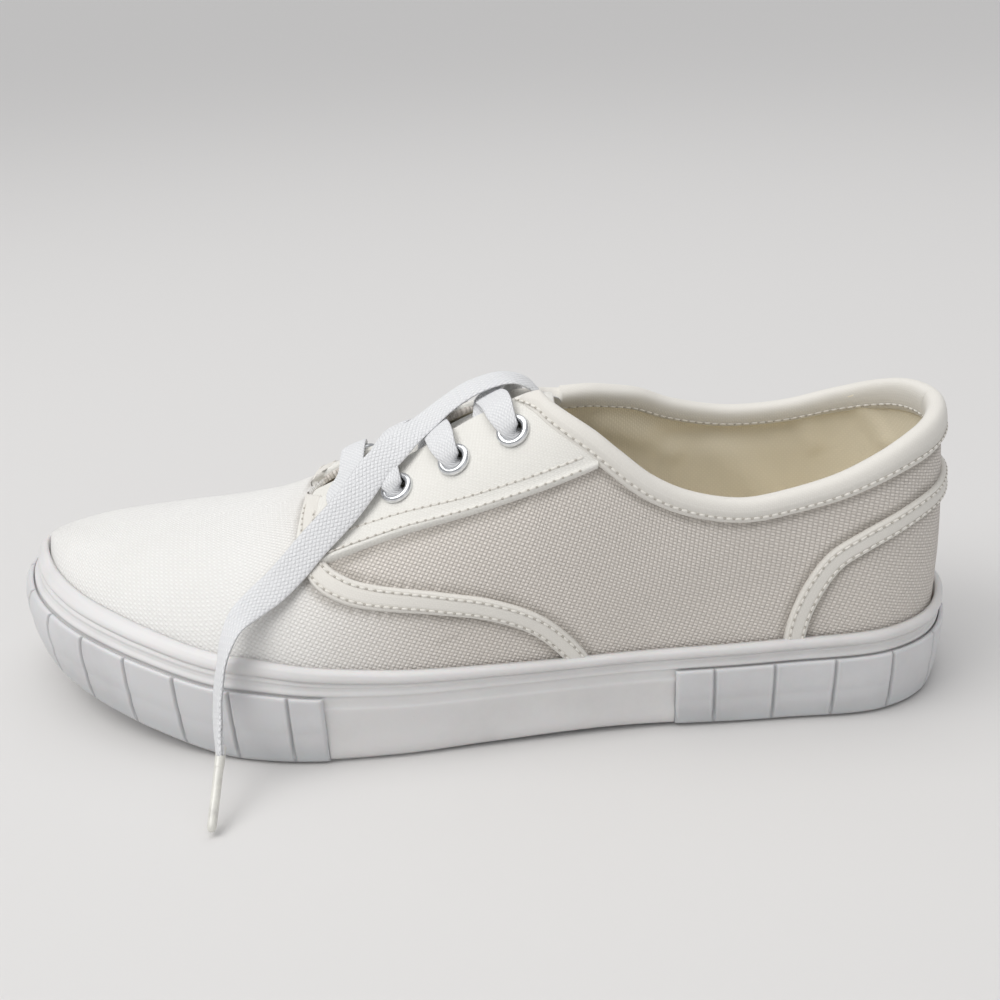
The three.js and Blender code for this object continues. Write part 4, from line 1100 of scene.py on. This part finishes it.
lean = {"start": 0.6, "span": 0.36}  # levels of the tape over which the side leans to the last
tapeRows = np.array([  # level over the tread, out as a share of the tape's thickness
    (0, -0.6), (0.03, -0.25), (0.12, 0), (0.36, -0.14), (0.56, -0.02), (0.6, 0.02), (0.63, -0.16),
    (0.66, -0.2), (0.7, -0.18), (0.735, -0.2), (0.75, 0), (0.765, 0.04), (0.78, -0.02), (0.8, -0.2),
    (0.83, -0.2), (0.845, -0.05), (0.86, -0.05), (0.875, -0.22), (0.89, 0.1), (0.91, 0.34),
    (0.935, 0.42), (0.965, 0.36), (0.985, 0.15), (1, -0.25)])
bandRows = np.array([  # level up the band, out as a share of its thickness
    (0, -1.6), (0.03, -1.2), (0.1, -0.95), (0.38, -0.3), (0.44, -0.3), (0.48, -0.3), (0.52, -0.2),
    (0.6, 0), (0.95, 0), (0.985, -0.12), (1, -0.4)])


def leanShare(level):
    return np.clip((level - lean["start"]) / lean["span"], 0, 1)


# Even steps round the sole: length, sole's edge, outward direction, last's edge, inner side or not
def ringStations(step):
    ring = lambda line: np.vstack([line, line[:1]])
    length = runLength(ring(soleLine))
    at = np.arange(0, length[-1], step)
    sole, outward, lastAt = (readAt(at, length, ring(line)) for line in (soleLine, soleOut, lastLine))
    isInner = np.zeros(around, bool)
    isInner[innerIndex] = True
    place = np.interp(at, length, np.arange(around + 1))
    return at, sole, unit(outward), lastAt, isInner[np.round(place).astype(int) % around]


# Tape: the sole's own edge below, and the last's side above, joined by the share of the lean
def tapeSkin(stationSet, level, out, inside=False):
    at, sole, outward, lastAt, inner = stationSet
    x = np.clip(lastAt[:, :1], lastToe, lastHeel) + 0 * level
    foot = shoe["tapeFoot"]
    heightAt = lambda px: treadHeight(px) + foot + level * (tapeTop(px) - treadHeight(px) - foot)
    ground = featherHeight(x)
    over = np.maximum(heightAt(x) - ground, 0) / (shoe["lastHeight"] * section("crest", x) - ground)
    angle = np.arcsin(np.clip(over, 0, 1) ** (section("rise", x) / 2))
    onLast = lastPoint(x, np.where(inner[:, None], math.pi - angle, angle))
    edge, side = (np.concatenate([flat, np.zeros((len(at), 1))], 1)[:, None] for flat in (sole, outward))
    upper = onLast + side * ((1 + out) * shoe["tapeThickness"] + shoe["clearance"])[..., None]
    lower = edge + side * (out * shoe["tapeThickness"] - shoe["bandThickness"] - shoe["clearance"])[..., None]
    share = 1 if inside else leanShare(level)[..., None]
    p = upper * share + lower * (1 - share)
    p[..., 2] = heightAt(p[..., 0])
    return p


def addTape():
    stationSet = ringStations(1.3)
    level = np.concatenate([np.linspace(0, lean["start"], 16)[:-1], np.linspace(lean["start"], 1, 44)])[None]
    face = tapeSkin(stationSet, level, smooth(tapeRows, 1, level))
    back = np.array([[1, 0.7, 0.45, 0]])
    gap = np.array([[2.4, 2.7, 1, 1]]) * shoe["clearance"]
    inside = tapeSkin(stationSet, back, (gap - shoe["clearance"]) / shoe["tapeThickness"] - 1, inside=True)
    piece = ringMesh("sole_tape_rubber", np.concatenate([face, inside], axis=1), closed=True)
    finishPiece(piece, soleRubber, ["sole_tape"])


groove = {"margin": 9.5, "spacing": 16.6, "depth": 0.75, "width": 0.42, "wander": 0.6, "slant": 0.25,
          "lip": 0.12, "lipAt": 0.8, "lipWidth": 0.5}


# Band: out as in its table, less depth * exp(-(distance to the groove / width)^2), with a low lip
# beside each groove and soft ends. Over the toe it leans in with the tape, by the last's setback.
def addBand(name, covers):
    at, sole, outward, lastAt, _ = ringStations(0.28)
    keep = covers(lastAt[:, 0])
    first = np.flatnonzero(keep & ~np.roll(keep, 1))[0]
    order = (first + np.arange(len(at))) % len(at)
    order = order[keep[order]]
    sole, outward = sole[order], outward[order]
    run = runLength(sole)
    cuts = np.arange(groove["margin"], run[-1] - groove["margin"] / 2, groove["spacing"])
    level = np.concatenate([np.linspace(0, 0.54, 16)[:-1], np.linspace(0.54, 0.95, 5)[:-1],
                            np.linspace(0.95, 1, 6)])
    slant = (np.arange(len(cuts)) % 3 - 1) * groove["slant"]
    start = cuts + groove["wander"] * np.sin(cuts * 2.3)
    centre = start[:, None] + slant[:, None] * (level - 0.5)
    away = np.abs(run[:, None, None] - centre[None]).min(axis=1)
    cut = groove["depth"] * bell(away, groove["width"])
    cut = cut - groove["lip"] * bell(away - groove["lipAt"], groove["lipWidth"])
    soften = 0.7 * bell(np.minimum(run, run[-1] - run)[:, None], 0.5)
    reach = smooth(bandRows, 1, level) * shoe["bandThickness"] - cut * ease((level - 0.02) / 0.1) - soften
    base = np.array([(1, -1), (0.1, -1), (0, -1.75)])  # back face: level, out
    backReach = np.broadcast_to(base[:, 1] * shoe["bandThickness"], (len(run), len(base)))
    reach = np.concatenate([reach, backReach], 1)
    away = np.concatenate([away, np.repeat(away[:, -1:], len(base), axis=1)], 1)
    level = np.concatenate([level, base[:, 0]])
    tread, top = treadHeight(sole[:, :1]), tapeTop(sole[:, :1])
    z = tread + shoe["tapeFoot"] + level * (shoe["bandShare"] * (top - tread) - shoe["tapeFoot"])
    rings = np.concatenate([sole[:, None] + outward[:, None] * reach[..., None], z[..., None]], -1)
    rings[..., 0] += setback(sole[:, :1]) * leanShare(shoe["bandShare"] * level)
    # Painted shade: darker in each groove and toward the band's bottom, where less light falls
    paintedShade = 0.9 * bell(away, 0.42) + 0.3 * ease(1 - level[None] / 0.75)
    piece = ringMesh(f"{name}_rubber", rings, marks={"paintedShade": np.minimum(paintedShade, 1)})
    finishPiece(piece, bandRubber, [name])


def addOutsole():
    x = stations(150)
    outer, inner, _ = crossing(x)
    t = (1 - np.cos(np.linspace(0, math.pi, 40))) / 2
    y = outer[:, None] + (inner - outer)[:, None] * t
    station = np.broadcast_to(x[:, None], y.shape)
    top = np.stack([station, y, featherHeight(station) - shoe["clearance"]], -1)
    under = np.stack([station, y, treadHeight(station)], -1)
    piece = plateMesh("outsole_rubber", top, under, np.stack([station, y], -1))
    finishPiece(piece, treadRubber, ["outsole"])


addTape()
addBand("toe_band", lambda x: x <= -37.5)
addBand("heel_band", lambda x: x >= 57)
addOutsole()
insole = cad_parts["insole"]
insole.data.materials.clear()
insole.data.materials.append(insoleMaterial())
print("sole made")

# Floor, light and sky

studio = {"floorHalf": 60.0, "floorColor": (0.7, 0.69, 0.68), "aim": (0, 0, 0.04), "sunAngle": 70,
          "sky": (0.96, 0.97, 1, 1), "skyStrength": 0.38}
lamps = [  # kind, size, power, colour, place; all look at the shoe
    ("key", "AREA", 0.8, 5.0, (1, 0.99, 0.975), (-0.75, -0.35, 1.15)),
    ("fill", "AREA", 1.2, 1.3, (1, 0.99, 0.98), (0.7, -1.1, 0.55)),
    ("top", "AREA", 0.9, 2.0, (1, 1, 1), (0.15, 0.45, 1.2)),
    ("sky light", "SUN", None, 1.35, (1, 0.995, 0.985), (-0.35, -0.2, 1))]


def addStudio():
    half = studio["floorHalf"]
    floorMesh = bpy.data.meshes.new("floor")
    corners = [(-half, -half, 0), (half, -half, 0), (half, half, 0), (-half, half, 0)]
    floorMesh.from_pydata(corners, [], [(0, 1, 2, 3)])
    floor = newObject("floor", floorMesh)
    paint = newMaterial("floor", {"Roughness": 0.75, "Base Color": studio["floorColor"]})[0]
    floorMesh.materials.append(paint)
    for name, kind, size, power, color, place in lamps:
        data = bpy.data.lights.new(name, kind)
        if kind == "AREA":
            data.size = size
        else:
            data.angle = math.radians(studio["sunAngle"])
        data.energy = power
        data.color = color
        lamp = newObject(name, data)
        lamp.location = place
        lamp.rotation_euler = (Vector(studio["aim"]) - Vector(place)).to_track_quat("-Z", "Y").to_euler()
    world = bpy.data.worlds.new("sky")
    world.use_nodes = True
    background = world.node_tree.nodes["Background"]
    background.inputs[0].default_value = studio["sky"]
    background.inputs[1].default_value = studio["skyStrength"]
    bpy.context.scene.world = world
    bpy.context.scene.view_settings.view_transform = "Standard"


addStudio()
print("studio made")
